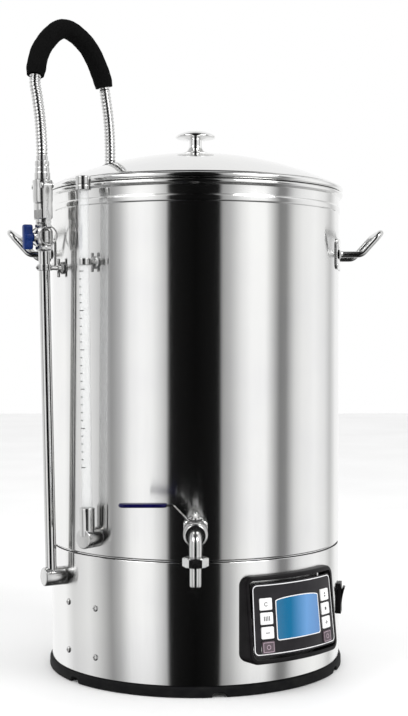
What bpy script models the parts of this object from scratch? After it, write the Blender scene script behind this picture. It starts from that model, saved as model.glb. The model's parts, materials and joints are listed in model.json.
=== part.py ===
"""An electric all-in-one brewing kettle.

The frame: metres, +Z up, the origin on the floor under the kettle's axis, the tap at -Y.
A place on the round body is given by its bearing, in degrees from the front, positive towards +X.
"""

import math

import bmesh
import bpy
from mathutils import Matrix, Vector

# The kettle and its base.
GAP = 0.0003
WALL = 0.0015
BODY_R = 0.200
RIM_R = 0.2055
FOOT_TOP_Z = 0.014
SEAM_Z = 0.1697
FLOOR_Z = 0.190
RIM_Z = 0.645
LID_Z = 0.6523
DOME_Z = 0.6615
DOME_RISE = 0.0455
DOME_EDGE_R = 0.199
FACETS = 48

# The fittings round the body.
TAP_Z = 0.213
STEM_Y = -0.245
OUTLET_Y = -0.2745
GAUGE_BEARING = -40
GAUGE_R = 0.2167
GAUGE_LEAN = 0.85
GAUGE_LEAN_Z = 0.290
GAUGE_FOOT_Z = 0.1955
GAUGE_CLIP_Z = 0.549
GAUGE_TUBE_R = 0.0069
RISER_BEARING = -62
RISER_R = 0.22175
RISER_LEAN = 1.25
RISER_LEAN_Z = 0.352
RISER_FOOT_Z = 0.1355
RISER_CLIP_Z = 0.545
RISER_VALVE_Z = 0.585
COUPLER_Z = 0.6035
CAM_PIVOT_Z = 0.652
CAM_OFFSET = 0.0165
RING_PIVOT_Z = 0.5985
RING_R = 0.0122
HANDLE_Z = 0.566
HANDLE_REACH = 0.227
HANDLE_TIP_R = 0.254
HANDLE_TIP_Z = 0.596
HANDLE_HALF_WIDTH = 0.050
CONTROLLER_BEARING = 38.4
SWITCH_BEARING = 80
INLET_BEARING = 150
PIPE_R = 0.0075

# The controller: a wedge with a curved face, which stands further out at its lower edge.
PANEL_LOW_Z = 0.042
PANEL_HIGH_Z = 0.1515
PANEL_LOW_R = 0.2207
PANEL_HIGH_R = 0.209
PANEL_WIDTH = 0.153
KEY_SWING = 13.65
KEY_TOP_Z = 0.1165
KEY_PITCH = 0.0178

# The recirculation hose, and where it goes through the lid.
HOSE_R = 0.0077
GROMMET_PLAY = 0.0018
SLEEVE_R = 0.0135
TAIL_X = -0.119
TAIL_Y = -0.010

# The malt pipe inside the kettle.
MALT_R = 0.150
MALT_BOTTOM_Z = 0.225
MALT_TOP_Z = 0.615

# Colour, roughness and metallic value of each material.
FINISHES = {
    "brushed_steel": ((0.62, 0.62, 0.61), 0.28, 1.0),
    "polished_steel": ((0.72, 0.72, 0.71), 0.10, 1.0),
    "cast_steel": ((0.55, 0.55, 0.54), 0.38, 1.0),
    "black_rubber": ((0.02, 0.02, 0.02), 0.80, 0.0),
    "black_foam": ((0.015, 0.015, 0.016), 0.95, 0.0),
    "black_plastic": ((0.025, 0.024, 0.026), 0.45, 0.0),
    "face_film": ((0.045, 0.043, 0.047), 0.35, 0.0),
    "display_blue": ((0.02, 0.16, 0.30), 0.10, 0.0),
    "white_key": ((0.80, 0.80, 0.80), 0.45, 0.0),
    "mauve_key": ((0.10, 0.06, 0.08), 0.45, 0.0),
    "blue_vinyl": ((0.006, 0.012, 0.11), 0.35, 0.0),
    "clear_tube": ((0.75, 0.80, 0.80), 0.05, 0.0),
    "silicone": ((0.70, 0.70, 0.68), 0.60, 0.0),
    "board_green": ((0.02, 0.15, 0.05), 0.50, 0.0),
    "aluminium": ((0.60, 0.60, 0.62), 0.40, 1.0),
}


def clear_scene():
    for obj in list(bpy.data.objects):
        bpy.data.objects.remove(obj, do_unlink=True)


def new_collection(name):
    collection = bpy.data.collections.new(name)
    bpy.context.scene.collection.children.link(collection)
    return collection


clear_scene()
PARTS = new_collection("electric_brewing_kettle")
CUTTERS = new_collection("cutters")


def material(node, finish):
    """The node's own Principled material."""
    colour, roughness, metallic = FINISHES[finish]
    made = bpy.data.materials.new(node + "_" + finish)
    made.use_nodes = True
    shader = made.node_tree.nodes["Principled BSDF"]
    shader.inputs["Base Color"].default_value = (*colour, 1.0)
    shader.inputs["Roughness"].default_value = roughness
    shader.inputs["Metallic"].default_value = metallic
    return made


def empty(name, location=(0, 0, 0), rotation=(0, 0, 0), parent=None):
    """A frame that pieces hang on; the rotation is in degrees."""
    obj = bpy.data.objects.new(name, None)
    obj.location = location
    obj.rotation_euler = [math.radians(a) for a in rotation]
    obj.parent = parent
    PARTS.objects.link(obj)
    return obj


def add(name, data, finish, parent=None, location=(0, 0, 0), rotation=(0, 0, 0)):
    obj = bpy.data.objects.new(name, data)
    obj.location = location
    obj.rotation_euler = [math.radians(a) for a in rotation]
    obj.parent = parent
    if finish:
        data.materials.append(material(name, finish))
    PARTS.objects.link(obj)
    return obj


def as_mesh(obj, sharp=35):
    """The object as one welded mesh, shaded smooth with sharp edges."""
    bpy.context.view_layer.update()
    graph = bpy.context.evaluated_depsgraph_get()
    mesh = bpy.data.meshes.new_from_object(obj.evaluated_get(graph))
    work = bmesh.new()
    work.from_mesh(mesh)
    bmesh.ops.remove_doubles(work, verts=work.verts, dist=0.00001)
    work.to_mesh(mesh)
    work.free()
    mesh.shade_smooth()
    mesh.set_sharp_from_angle(angle=math.radians(sharp))
    solid = bpy.data.objects.new("solid", mesh)
    solid.location = obj.location
    solid.rotation_euler = obj.rotation_euler
    solid.parent = obj.parent
    PARTS.objects.link(solid)
    name = obj.name
    bpy.data.objects.remove(obj, do_unlink=True)
    solid.name = name
    return solid


def box(name, size, centre, finish=None, parent=None, rotation=(0, 0, 0), bevel=0.0, segments=2):
    mesh = bpy.data.meshes.new(name)
    work = bmesh.new()
    bmesh.ops.create_cube(work, size=1.0)
    bmesh.ops.scale(work, vec=size, verts=work.verts)
    work.to_mesh(mesh)
    work.free()
    obj = add(name, mesh, finish, parent, centre, rotation)
    if bevel:
        edge = obj.modifiers.new("edges", "BEVEL")
        edge.width = bevel
        edge.segments = segments
    return obj


def rod(name, radius, length, centre, finish=None, parent=None, rotation=(0, 0, 0), sides=20, top=None):
    """A cylinder along its own Z, or a cone when top is its other radius."""
    mesh = bpy.data.meshes.new(name)
    work = bmesh.new()
    upper = radius if top is None else top
    bmesh.ops.create_cone(
        work, cap_ends=True, segments=sides, radius1=radius, radius2=upper, depth=length
    )
    work.to_mesh(mesh)
    work.free()
    mesh.shade_smooth()
    mesh.set_sharp_from_angle(angle=math.radians(35))
    return add(name, mesh, finish, parent, centre, rotation)


def ball(name, radius, centre, finish=None, parent=None):
    mesh = bpy.data.meshes.new(name)
    work = bmesh.new()
    bmesh.ops.create_uvsphere(work, u_segments=16, v_segments=8, radius=radius)
    work.to_mesh(mesh)
    work.free()
    return add(name, mesh, finish, parent, centre)


def turned(name, profile, finish=None, parent=None, location=(0, 0, 0), rotation=(0, 0, 0),
           facets=20, ring=False):
    """A profile of (radius, height) turned about Z; a ring's profile closes on itself."""
    mesh = bpy.data.meshes.new(name)
    edges = [(i, i + 1) for i in range(len(profile) - 1)]
    if ring:
        edges.append((len(profile) - 1, 0))
    mesh.from_pydata([(r, 0, z) for r, z in profile], edges, [])
    obj = add(name, mesh, finish, parent, location, rotation)
    screw = obj.modifiers.new("turn", "SCREW")
    screw.steps = facets
    screw.render_steps = facets
    screw.use_merge_vertices = True
    screw.merge_threshold = 0.00001
    return as_mesh(obj)


def pipe(name, outer, inner, low, high, finish=None, parent=None, location=(0, 0, 0),
         rotation=(0, 0, 0), facets=20):
    """A straight tube along Z."""
    profile = [(outer, high), (outer, low), (inner, low), (inner, high)]
    return turned(name, profile, finish, parent, location, rotation, facets, ring=True)


def bent(name, points, radius, finish=None, parent=None, resolution=3):
    """A round rod or hose through the points."""
    curve = bpy.data.curves.new(name, "CURVE")
    curve.dimensions = "3D"
    curve.bevel_depth = radius
    curve.bevel_resolution = resolution
    curve.use_fill_caps = True
    spline = curve.splines.new("POLY")
    spline.points.add(len(points) - 1)
    for place, point in zip(spline.points, points):
        place.co = (*point, 1)
    return as_mesh(add(name, curve, finish, parent))


def plate(name, outlines, thickness, finish=None, parent=None, location=(0, 0, 0), rotation=(0, 0, 0)):
    """A flat plate of (x, y) outlines, with its middle at z = 0; later outlines are holes."""
    curve = bpy.data.curves.new(name, "CURVE")
    curve.dimensions = "2D"
    curve.fill_mode = "BOTH"
    curve.extrude = thickness / 2
    for outline in outlines:
        spline = curve.splines.new("POLY")
        spline.points.add(len(outline) - 1)
        spline.use_cyclic_u = True
        for place, (x, y) in zip(spline.points, outline):
            place.co = (x, y, 0, 1)
    return as_mesh(add(name, curve, finish, parent, location, rotation))


def combine(obj, other, how):
    """Cuts obj by other, joins other to it, or keeps what they share."""
    bpy.context.view_layer.update()
    PARTS.objects.unlink(other)
    CUTTERS.objects.link(other)
    other.hide_render = True
    other.display_type = "WIRE"
    join = obj.modifiers.new(other.name, "BOOLEAN")
    join.operation = how
    join.object = other
    return obj


def arc(cx, cy, radius, start, stop, steps):
    """Points on a round stretch, with angles in degrees."""
    turn = [math.radians(start + (stop - start) * i / steps) for i in range(steps + 1)]
    return [(cx + radius * math.cos(a), cy + radius * math.sin(a)) for a in turn]


def rounded(width, height, radius, cx=0.0, cy=0.0, steps=3):
    """A rectangle's outline with round corners."""
    x, y = width / 2 - radius, height / 2 - radius
    corners = [(x, y, 0), (-x, y, 90), (-x, -y, 180), (x, -y, 270)]
    return [p for a, b, t in corners for p in arc(cx + a, cy + b, radius, t, t + 90, steps)]


def filleted(points, radius, steps=4):
    """A route of straight runs with each corner rounded."""
    points = [Vector(p) for p in points]
    route = [points[0]]
    for before, corner, after in zip(points, points[1:], points[2:]):
        a = (before - corner).normalized()
        b = (after - corner).normalized()
        half = a.angle(b) / 2
        reach = radius / math.tan(half)
        centre = corner + (a + b).normalized() * (radius / math.sin(half))
        first = corner + a * reach - centre
        last = corner + b * reach - centre
        size = first.length
        route += [centre + first.lerp(last, i / steps).normalized() * size for i in range(steps + 1)]
    route.append(points[-1])
    return route


def smooth_route(points, spacing):
    """Points about evenly spaced along a smooth curve through the route's own points."""
    points = [Vector(p) for p in points]
    ends = [points[0] * 2 - points[1]] + points + [points[-1] * 2 - points[-2]]
    fine = []
    for p0, p1, p2, p3 in zip(ends, ends[1:], ends[2:], ends[3:]):
        for i in range(24):
            t = i / 24
            fine.append(0.5 * (2 * p1 + (p2 - p0) * t + (2 * p0 - 5 * p1 + 4 * p2 - p3) * t ** 2
                               + (3 * p1 - p0 - 3 * p2 + p3) * t ** 3))
    fine.append(points[-1])
    lengths = [0.0]
    for a, b in zip(fine, fine[1:]):
        lengths.append(lengths[-1] + (b - a).length)
    count = round(lengths[-1] / spacing)
    route, j = [], 0
    for i in range(count + 1):
        want = lengths[-1] * i / count
        while j < len(fine) - 2 and lengths[j + 1] < want:
            j += 1
        share = (want - lengths[j]) / (lengths[j + 1] - lengths[j])
        route.append(fine[j].lerp(fine[j + 1], min(share, 1.0)))
    return route


def wall_cutter(name, parent=None):
    """The body's cylinder, a little larger, which shapes the back of what is fixed to it."""
    return rod(name, BODY_R + 2 * GAP, 0.8, (0, 0, 0.35), parent=parent, sides=144)


def bearing_frame(name, bearing):
    """A frame whose -Y points straight out of the body at that bearing."""
    return empty(name, rotation=(0, 0, bearing))


def leaning_frame(name, turn, r, z, lean):
    """The bearing's frame tipped outwards by that lean, about the point at that radius and height."""
    hinge = empty(name + "_hinge", (0, -r, z), (lean, 0, 0), parent=turn)
    return empty(name, (0, r, -z), parent=hinge)


def leaning_point(bearing, r, z, lean, out, up):
    """Where a point, out from a leaning axis and up it, is in space."""
    turn = Matrix.Rotation(math.radians(bearing), 4, "Z")
    tip = Matrix.Rotation(math.radians(lean), 4, "X")
    return turn @ Matrix.Translation((0, -r, z)) @ tip @ Vector((0, -out, up - z))


def make_standoff(name, turn, column, axis_r, z, r, bore):
    """A clip round a pipe, with a flange and a wing nut between it and the wall."""
    clip = pipe(name, r, bore, z - 0.0042, z + 0.0042, "cast_steel", parent=column[0],
                location=(0, -column[1], 0))
    start, reach = BODY_R - 0.001, axis_r - r + 0.0012
    combine(clip, rod(name + "_bolt", 0.0032, reach - start, (0, -(start + reach) / 2, z), parent=turn,
                      rotation=(90, 0, 0), sides=12), "UNION")
    combine(clip, rod(name + "_flange", 0.0085, 0.004, (0, -start - 0.002, z), parent=turn,
                      rotation=(90, 0, 0)), "UNION")
    combine(clip, rod(name + "_nut", 0.0052, 0.0050, (0, -BODY_R - 0.0058, z), parent=turn,
                      rotation=(90, 0, 0),
                      sides=12), "UNION")
    combine(clip, box(name + "_wings", (0.0026, 0.0042, 0.0250), (0, -BODY_R - 0.0060, z), parent=turn),
            "UNION")
    combine(clip, wall_cutter(name + "_back"), "DIFFERENCE")
    return clip


def make_base():
    ring = turned(
        "foot_ring",
        [(0.2000, FOOT_TOP_Z), (0.2035, FOOT_TOP_Z - 0.003), (0.2035, 0), (0.1910, 0),
         (0.1910, 0.008), (0.1960, FOOT_TOP_Z)],
        "black_rubber", facets=48, ring=True,
    )
    for i in range(6):
        turn = empty("notch_frame_%d" % (i + 1), rotation=(0, 0, 8.5 + 60 * i))
        notch = plate("notch_%d" % (i + 1), [[(-0.011, -0.001), (0.011, -0.001), (0.0055, 0.0075),
                      (-0.0055, 0.0075)]], 0.03, parent=turn, location=(0, -0.197, 0), rotation=(90, 0, 0))
        combine(ring, notch, "DIFFERENCE")
    turned("base_plate", [(0, 0.0065), (0.1905, 0.0065), (0.1905, 0.004), (0, 0.004)],
           "black_plastic", facets=36)
    low = FOOT_TOP_Z + GAP
    inner = BODY_R - WALL
    turned("base_skirt",
           [(inner, SEAM_Z), (BODY_R - 0.0005, SEAM_Z), (BODY_R, SEAM_Z - 0.0008), (BODY_R, low),
            (inner, low)],
           "brushed_steel", facets=FACETS, ring=True)


def make_kettle():
    inner = BODY_R - WALL
    bead = [(BODY_R, 0.6328), (BODY_R + 0.0016, 0.6308), (BODY_R + 0.0016, 0.6255), (BODY_R, 0.6235)]
    roll = [(inner + 0.001, 0.652), (RIM_R - 0.0015, 0.652), (RIM_R, 0.6502), (RIM_R, RIM_Z + 0.0015),
            (RIM_R - 0.0015, RIM_Z), (BODY_R, RIM_Z - 0.0005)]
    foot = [(BODY_R, SEAM_Z + 0.0035), (BODY_R - 0.002, SEAM_Z + 0.0022), (BODY_R - 0.002, SEAM_Z + GAP),
            (0.180, SEAM_Z + GAP), (0.180, FLOOR_Z), (0, FLOOR_Z)]
    floor = [(0, FLOOR_Z + WALL), (inner - 0.012, FLOOR_Z + WALL), (inner, FLOOR_Z + 0.012)]
    turned("kettle_vessel", floor + roll + bead + foot, "brushed_steel", facets=FACETS)
    turned("heater_plate", [(0, FLOOR_Z - GAP), (0.085, FLOOR_Z - GAP), (0.085, 0.182), (0, 0.182)],
           "aluminium", facets=24)
    turned("temperature_probe", [(0, 0.214), (0.002, 0.214), (0.003, 0.212), (0.003, 0.196), (0.009, 0.195),
           (0.009, FLOOR_Z + WALL + GAP), (0, FLOOR_Z + WALL + GAP)], "polished_steel",
           location=(0.1, 0.06, 0),
           facets=16)


def make_side_handle(name, side):
    turn = empty(name + "_frame", rotation=(0, 0, 90 * side))
    inner, outer = BODY_R + GAP, BODY_R + 0.0023
    shell = turned(name, [(outer, 0.640), (outer, 0.5), (inner, 0.5), (inner, 0.640)],
                   "brushed_steel", parent=turn, facets=96, ring=True)
    window = plate(name + "_outline", [rounded(0.130, 0.043, 0.008)], 0.1, parent=turn,
                   location=(0, -BODY_R, HANDLE_Z + 0.0005), rotation=(90, 0, 0))
    combine(shell, window, "INTERSECT")
    half = HANDLE_HALF_WIDTH
    start = math.sqrt(outer ** 2 - half ** 2) - 0.0006
    corners = [(half, -start, HANDLE_Z), (half, -HANDLE_REACH, HANDLE_Z),
               (half, -HANDLE_TIP_R, HANDLE_TIP_Z)]
    route = filleted(corners + [(-x, y, z) for x, y, z in reversed(corners)], 0.012)
    combine(shell, bent(name + "_rod", route, 0.00425, parent=turn), "UNION")


def make_lid():
    turned("lid_rim",
           [(0.1955, 0.660), (RIM_R - 0.002, 0.660), (RIM_R, 0.658), (RIM_R, LID_Z + 0.002),
            (RIM_R - 0.002, LID_Z), (0.1968, LID_Z), (0.1968, 0.640), (0.1955, 0.640)],
           "polished_steel", facets=FACETS, ring=True)
    sphere = (DOME_EDGE_R ** 2 + DOME_RISE ** 2) / (2 * DOME_RISE)
    low = DOME_Z + DOME_RISE - sphere
    span = math.asin(DOME_EDGE_R / sphere)
    steps = 6

    def cap(radius):
        angles = [span * i / steps for i in range(steps + 1)]
        return [(radius * math.sin(a), low + radius * math.cos(a)) for a in angles]

    dome = turned("lid_dome", cap(sphere) + list(reversed(cap(sphere - 0.0012))), "polished_steel",
                  facets=48)
    tilt = math.degrees(math.asin(math.hypot(TAIL_X, TAIL_Y) / sphere))
    seat = low + math.sqrt(sphere ** 2 - TAIL_X ** 2 - TAIL_Y ** 2)
    heading = math.degrees(math.atan2(TAIL_X, -TAIL_Y))
    turn = empty("grommet_turn", (TAIL_X, TAIL_Y, seat), (0, 0, heading))
    lean = empty("grommet_lean", rotation=(tilt, 0, 0), parent=turn)
    combine(dome, rod("lid_hole", 0.0106, 0.03, (0, 0, 0), parent=lean, sides=20), "DIFFERENCE")
    grommet = turned("hose_grommet", [(0, 0.0030), (0.0115, 0.0030), (0.0125, 0.0022), (0.0125, 0.0008),
                     (0.0102, 0.0008), (0.0102, -0.0035), (0, -0.0035)], "black_rubber", parent=lean,
                     facets=20)
    combine(grommet, rod("grommet_bore", HOSE_R + GROMMET_PLAY, 0.04, (TAIL_X, TAIL_Y, seat), sides=16),
            "DIFFERENCE")
    turned("lid_knob",
           [(0, 0.741), (0.012, 0.7402), (0.022, 0.7376), (0.0278, 0.7336), (0.0280, 0.7322),
            (0.024, 0.7306),
            (0.009, 0.7285), (0.009, 0.720), (0.011, 0.7155), (0.0165, 0.7110), (0.0165, 0.7092),
            (0.026, 0.7087),
            (0.026, 0.7073), (0, 0.7073)],
           "polished_steel", facets=28)


def make_tap():
    start = BODY_R + GAP
    body = turned(
        "tap_body",
        [(0.0175, start), (0.006, start), (0.006, 0.236), (0.0088, 0.238), (0.0092, 0.245), (0.0088, 0.252),
         (0.006, 0.254), (0.006, 0.262), (0.0140, 0.262), (0.0140, 0.255), (0.0150, 0.254), (0.0150, 0.229),
         (0.0120, 0.226), (0.0120, 0.2125), (0.0175, 0.2125)],
        "cast_steel", location=(0, 0, TAP_Z), rotation=(90, 0, 0), facets=20, ring=True)
    combine(body, rod("tap_stem_hole", 0.0034, 0.03, (0, STEM_Y, TAP_Z + 0.015), sides=20), "DIFFERENCE")
    route = filleted([(0, -0.2624, TAP_Z), (0, OUTLET_Y, TAP_Z), (0, OUTLET_Y, 0.1838)], 0.0115, steps=6)
    elbow = bent("tap_elbow", route, 0.0073, "cast_steel", resolution=2)
    first, last = route[0] + Vector((0, 0.004, 0)), route[-1] - Vector((0, 0, 0.004))
    combine(elbow, bent("elbow_bore", [first] + route + [last], 0.0047, resolution=1), "DIFFERENCE")
    nut = rod("tap_union_nut", 0.0275 / math.sqrt(3), 0.0118, (0, OUTLET_Y, 0.1837), "cast_steel",
              rotation=(0, 0, 30), sides=6)
    combine(nut, rod("nut_bore", 0.0078, 0.03, (0, OUTLET_Y, 0.182), sides=20), "DIFFERENCE")
    turned("tap_hose_tail",
           [(0.0073, 0.1834), (0.0073, 0.1770), (0.0070, 0.1765), (0.0070, 0.1560), (0.0064, 0.1538),
            (0.0046, 0.1538), (0.0046, 0.1834)],
           "cast_steel", location=(0, OUTLET_Y, 0), facets=16, ring=True)
    turn = empty("tap_axis", (0, STEM_Y, 0))
    tap_ball = ball("tap_ball", 0.0083, (0, 0, TAP_Z), "polished_steel", parent=turn)
    combine(tap_ball, rod("tap_ball_bore", 0.0052, 0.03, (0, 0, TAP_Z), parent=turn, rotation=(0, 90, 0)),
            "DIFFERENCE")
    turned("tap_stem",
           [(0, 0.2395), (0.003, 0.2395), (0.003, 0.2375), (0.0056, 0.2375), (0.0056, 0.2321),
            (0.0030, 0.2321),
            (0.0030, TAP_Z + 0.0088), (0, TAP_Z + 0.0088)], "cast_steel", parent=turn, facets=16)
    low = 0.2286
    thick = 0.0018
    rise = [(-0.0085, low), (-0.0265, 0.2471), (-0.0880, 0.2471)]
    strip = [(0.0085, low)] + rise + [(x, z + thick) for x, z in reversed(rise)] + [(0.0085, low + thick)]
    lever = plate("tap_lever", [strip], 0.013, "brushed_steel", parent=turn, rotation=(90, 0, 0))
    combine(lever, rod("lever_hole", 0.0034, 0.02, (0, 0, low), parent=turn, sides=20), "DIFFERENCE")
    grip = plate("tap_grip", [rounded(0.060, 0.017, 0.007, cx=-0.064)], 0.0048, "blue_vinyl", parent=turn,
                 location=(0, 0, 0.2480))
    slot = box("grip_slot", (0.056, 0.0137, thick + 2 * GAP), (-0.0610, 0, 0.2480), parent=turn)
    combine(grip, slot, "DIFFERENCE")


def make_gauge():
    turn = bearing_frame("gauge_frame", GAUGE_BEARING)
    column = leaning_frame("gauge_column", turn, GAUGE_R, GAUGE_LEAN_Z, GAUGE_LEAN)
    foot = turned(
        "gauge_foot",
        [(0, 0.2245), (0.0118, 0.2243), (0.0130, 0.2232), (0.0130, BODY_R + GAP), (0, BODY_R + GAP)],
        "cast_steel", parent=turn, location=(0, 0, GAUGE_FOOT_Z), rotation=(90, 0, 0))
    combine(foot, rod("gauge_collar", 0.0098, 0.0395, (0, -GAUGE_R, 0.21525), parent=column), "UNION")
    combine(foot, rod("gauge_socket", GAUGE_TUBE_R + GAP, 0.04, (0, -GAUGE_R, 0.232), parent=column),
            "DIFFERENCE")
    pipe("gauge_tube", GAUGE_TUBE_R, 0.0054, 0.2124, 0.650, "clear_tube", parent=column,
         location=(0, -GAUGE_R, 0))
    bore = GAUGE_TUBE_R + GAP
    turned("gauge_cap",
           [(0, 0.658), (0.0092, 0.658), (0.0100, 0.6570), (0.0100, 0.640), (bore, 0.640), (bore, 0.6504),
            (0, 0.6504)],
           "cast_steel", parent=column, location=(0, -GAUGE_R, 0), facets=24)
    clip_z = GAUGE_CLIP_Z
    axis_r = -leaning_point(0, GAUGE_R, GAUGE_LEAN_Z, GAUGE_LEAN, 0, clip_z).y
    make_standoff("gauge_clip", turn, (column, GAUGE_R), axis_r, clip_z, 0.0088, bore)


def make_riser():
    turn = bearing_frame("riser_frame", RISER_BEARING)
    column = leaning_frame("riser_column", turn, RISER_R, RISER_LEAN_Z, RISER_LEAN)
    foot = turned(
        "riser_foot",
        [(0, 0.2287), (0.0113, 0.2285), (0.0125, 0.2274), (0.0125, BODY_R + GAP), (0, BODY_R + GAP)],
        "cast_steel", parent=turn, location=(0, 0, RISER_FOOT_Z), rotation=(90, 0, 0))
    combine(foot, rod("riser_socket", PIPE_R + GAP, 0.02, (0, -RISER_R, 0.1477), parent=column),
            "DIFFERENCE")
    pipe("riser_pipe", PIPE_R, 0.0063, 0.1380, RISER_VALVE_Z - 0.0188, "brushed_steel", parent=column,
         location=(0, -RISER_R, 0))
    clip_z = RISER_CLIP_Z
    axis_r = -leaning_point(0, RISER_R, RISER_LEAN_Z, RISER_LEAN, 0, clip_z).y
    clip = make_standoff("riser_standoff", turn, (column, RISER_R), axis_r, clip_z, 0.0095, PIPE_R + GAP)
    combine(clip, rod("standoff_screw", 0.0028, 0.0055, (0, -RISER_R - 0.0115, clip_z), parent=column,
                      rotation=(90, 0, 0), sides=12), "UNION")
    make_riser_valve(column)
    make_coupler(column)


def make_riser_valve(turn):
    z = RISER_VALVE_Z
    body = turned(
        "riser_valve_body",
        [(0.0098, 0.603), (0.0110, 0.6015), (0.0110, 0.596), (0.0125, 0.593), (0.0125, 0.577),
         (0.0110, 0.574),
         (0.0110, 0.5685), (0.0098, 0.567), (0.005, 0.567), (0.005, z - 0.007), (0.0085, z - 0.005),
         (0.0090, z), (0.0085, z + 0.005), (0.005, z + 0.007), (0.005, 0.603)],
        "cast_steel", parent=turn, location=(0, -RISER_R, 0), facets=20, ring=True)
    combine(body, rod("riser_boss", 0.0065, 0.0065, (0, -RISER_R - 0.0125, z), parent=turn,
                      rotation=(90, 0, 0)),
            "UNION")
    combine(body, rod("riser_stem_hole", 0.0030, 0.02, (0, -RISER_R - 0.015, z), parent=turn,
                      rotation=(90, 0, 0), sides=16), "DIFFERENCE")
    axis = empty("riser_valve_axis", (0, -RISER_R, z), parent=turn)
    valve_ball = ball("riser_valve_ball", 0.0080, (0, 0, 0), "polished_steel", parent=axis)
    combine(valve_ball, rod("valve_ball_bore", 0.0048, 0.03, (0, 0, 0), parent=axis), "DIFFERENCE")
    wing = turned(
        "riser_valve_handle",
        [(0, 0.0285), (0.0060, 0.0282), (0.0068, 0.0270), (0.0068, 0.0162), (0.0026, 0.0162),
         (0.0026, 0.0085),
         (0, 0.0085)],
        "blue_vinyl", parent=axis, rotation=(90, 0, 0), facets=20)
    combine(wing, box("wing_blade", (0.010, 0.0124, 0.033), (0, -0.0225, 0), parent=axis, bevel=0.002),
            "UNION")


def make_coupler(turn):
    bottom = COUPLER_Z
    cup = turned(
        "cam_coupler",
        [(0.0132, 0.660), (0.0132, 0.632), (0.0110, 0.628), (0.0110, 0.622), (0.0125, 0.621),
         (0.0125, 0.612),
         (0.0105, 0.610), (0.0105, bottom), (0.005, bottom), (0.005, 0.6340), (0.0099, 0.6360),
         (0.0099, 0.660)],
        "cast_steel", parent=turn, location=(0, -RISER_R, 0), ring=True)
    for side, word in ((1, "front"), (-1, "rear")):
        for lug in (1, -1):
            ear = box("lug_%s_%d" % (word, lug), (0.0100, 0.0020, 0.0076),
                      (side * 0.0146, -RISER_R + lug * 0.0074, CAM_PIVOT_Z), parent=turn)
            combine(cup, ear, "UNION")
        pin = rod("pin_" + word, 0.0012, 0.0160, (side * CAM_OFFSET, -RISER_R, CAM_PIVOT_Z), parent=turn,
                  rotation=(90, 0, 0), sides=12)
        combine(cup, pin, "UNION")
        pivot = empty("cam_pivot_" + word, (side * CAM_OFFSET, -RISER_R, CAM_PIVOT_Z), parent=turn)
        drop = CAM_PIVOT_Z - RING_PIVOT_Z
        eye, toe = 0.0029, 0.0034
        outline = arc(0, 0, eye, 0, 180, 6) + [(-0.0021, -0.008), (-0.0021, -0.043), (0.0021, -0.043),
                                               (0.0021, -0.008)]
        lever = plate("cam_lever_" + word, [outline, arc(0, 0, 0.0015, 0, 330, 11)], 0.012, "brushed_steel",
                      parent=pivot, rotation=(90, 0, 0))
        outline = [(-0.0018, -0.041)] + arc(0, -drop, toe, 180, 360, 8) + [(0.0018, -0.041)]
        tip = plate("toe_" + word, [outline, arc(0, -drop, 0.0018, 0, 330, 11)], 0.006, parent=pivot,
                    rotation=(90, 0, 0))
        combine(lever, tip, "UNION")
        ring = [(0, RING_R * math.sin(math.radians(18 * i)),
                 RING_R * math.cos(math.radians(18 * i)) - RING_R)
                for i in range(20)]
        make_pull_ring("pull_ring_" + word, ring, pivot, drop)


def make_pull_ring(name, points, pivot, drop):
    """A wire ring that hangs through the lever's toe."""
    hang = empty(name + "_pivot", (0, 0, -drop), parent=pivot)
    curve = bpy.data.curves.new(name, "CURVE")
    curve.dimensions = "3D"
    curve.bevel_depth = 0.0010
    curve.bevel_resolution = 1
    spline = curve.splines.new("POLY")
    spline.points.add(len(points) - 1)
    spline.use_cyclic_u = True
    for place, point in zip(spline.points, points):
        place.co = (*point, 1)
    return as_mesh(add(name, curve, "brushed_steel", hang))


def make_hose():
    turn = bearing_frame("adapter_frame", RISER_BEARING)
    column = leaning_frame("adapter_column", turn, RISER_R, RISER_LEAN_Z, RISER_LEAN)
    turned(
        "hose_adapter",
        [(0.0096, 0.6850), (0.0096, 0.6700), (0.0105, 0.6690), (0.0105, 0.6606), (0.0094, 0.6604),
         (0.0094, 0.655),
         (0.0085, 0.653), (0.0085, 0.649), (0.0094, 0.647), (0.0094, 0.6370), (0.0046, 0.6370),
         (0.0046, 0.6850)],
        "cast_steel", parent=column, location=(0, -RISER_R, 0), facets=20, ring=True)
    start = leaning_point(RISER_BEARING, RISER_R, RISER_LEAN_Z, RISER_LEAN, 0, 0.6860)
    after = leaning_point(RISER_BEARING, RISER_R, RISER_LEAN_Z, RISER_LEAN, 0, 0.7060)
    route = smooth_route(
        [start, after, (-0.2052, -0.1040, 0.7410), (-0.2092, -0.1005, 0.7700), (-0.2125, -0.0960, 0.7970),
         (-0.2048, -0.0840, 0.8390), (-0.1794, -0.0600, 0.8700), (-0.1500, -0.0350, 0.8540),
         (-0.1310, -0.0160, 0.8160),
         (-0.1240, -0.0110, 0.7790), (-0.1203, TAIL_Y, 0.7460), (TAIL_X, TAIL_Y, 0.7150),
         (TAIL_X, TAIL_Y, 0.6900),
         (TAIL_X, TAIL_Y, 0.6550), (TAIL_X, TAIL_Y, 0.6200)],
        0.022)
    bent("hose", route, HOSE_R, "brushed_steel", resolution=3)
    wrapped = [i for i, p in enumerate(route) if p.z > 0.797]
    first, last = wrapped[0], wrapped[-1]
    sleeve = bent("hose_sleeve", route[first:last + 1], SLEEVE_R, "black_foam", resolution=3)
    combine(sleeve, bent("sleeve_bore", route[first - 1:last + 2], HOSE_R + 0.0015, resolution=3),
            "DIFFERENCE")


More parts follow.
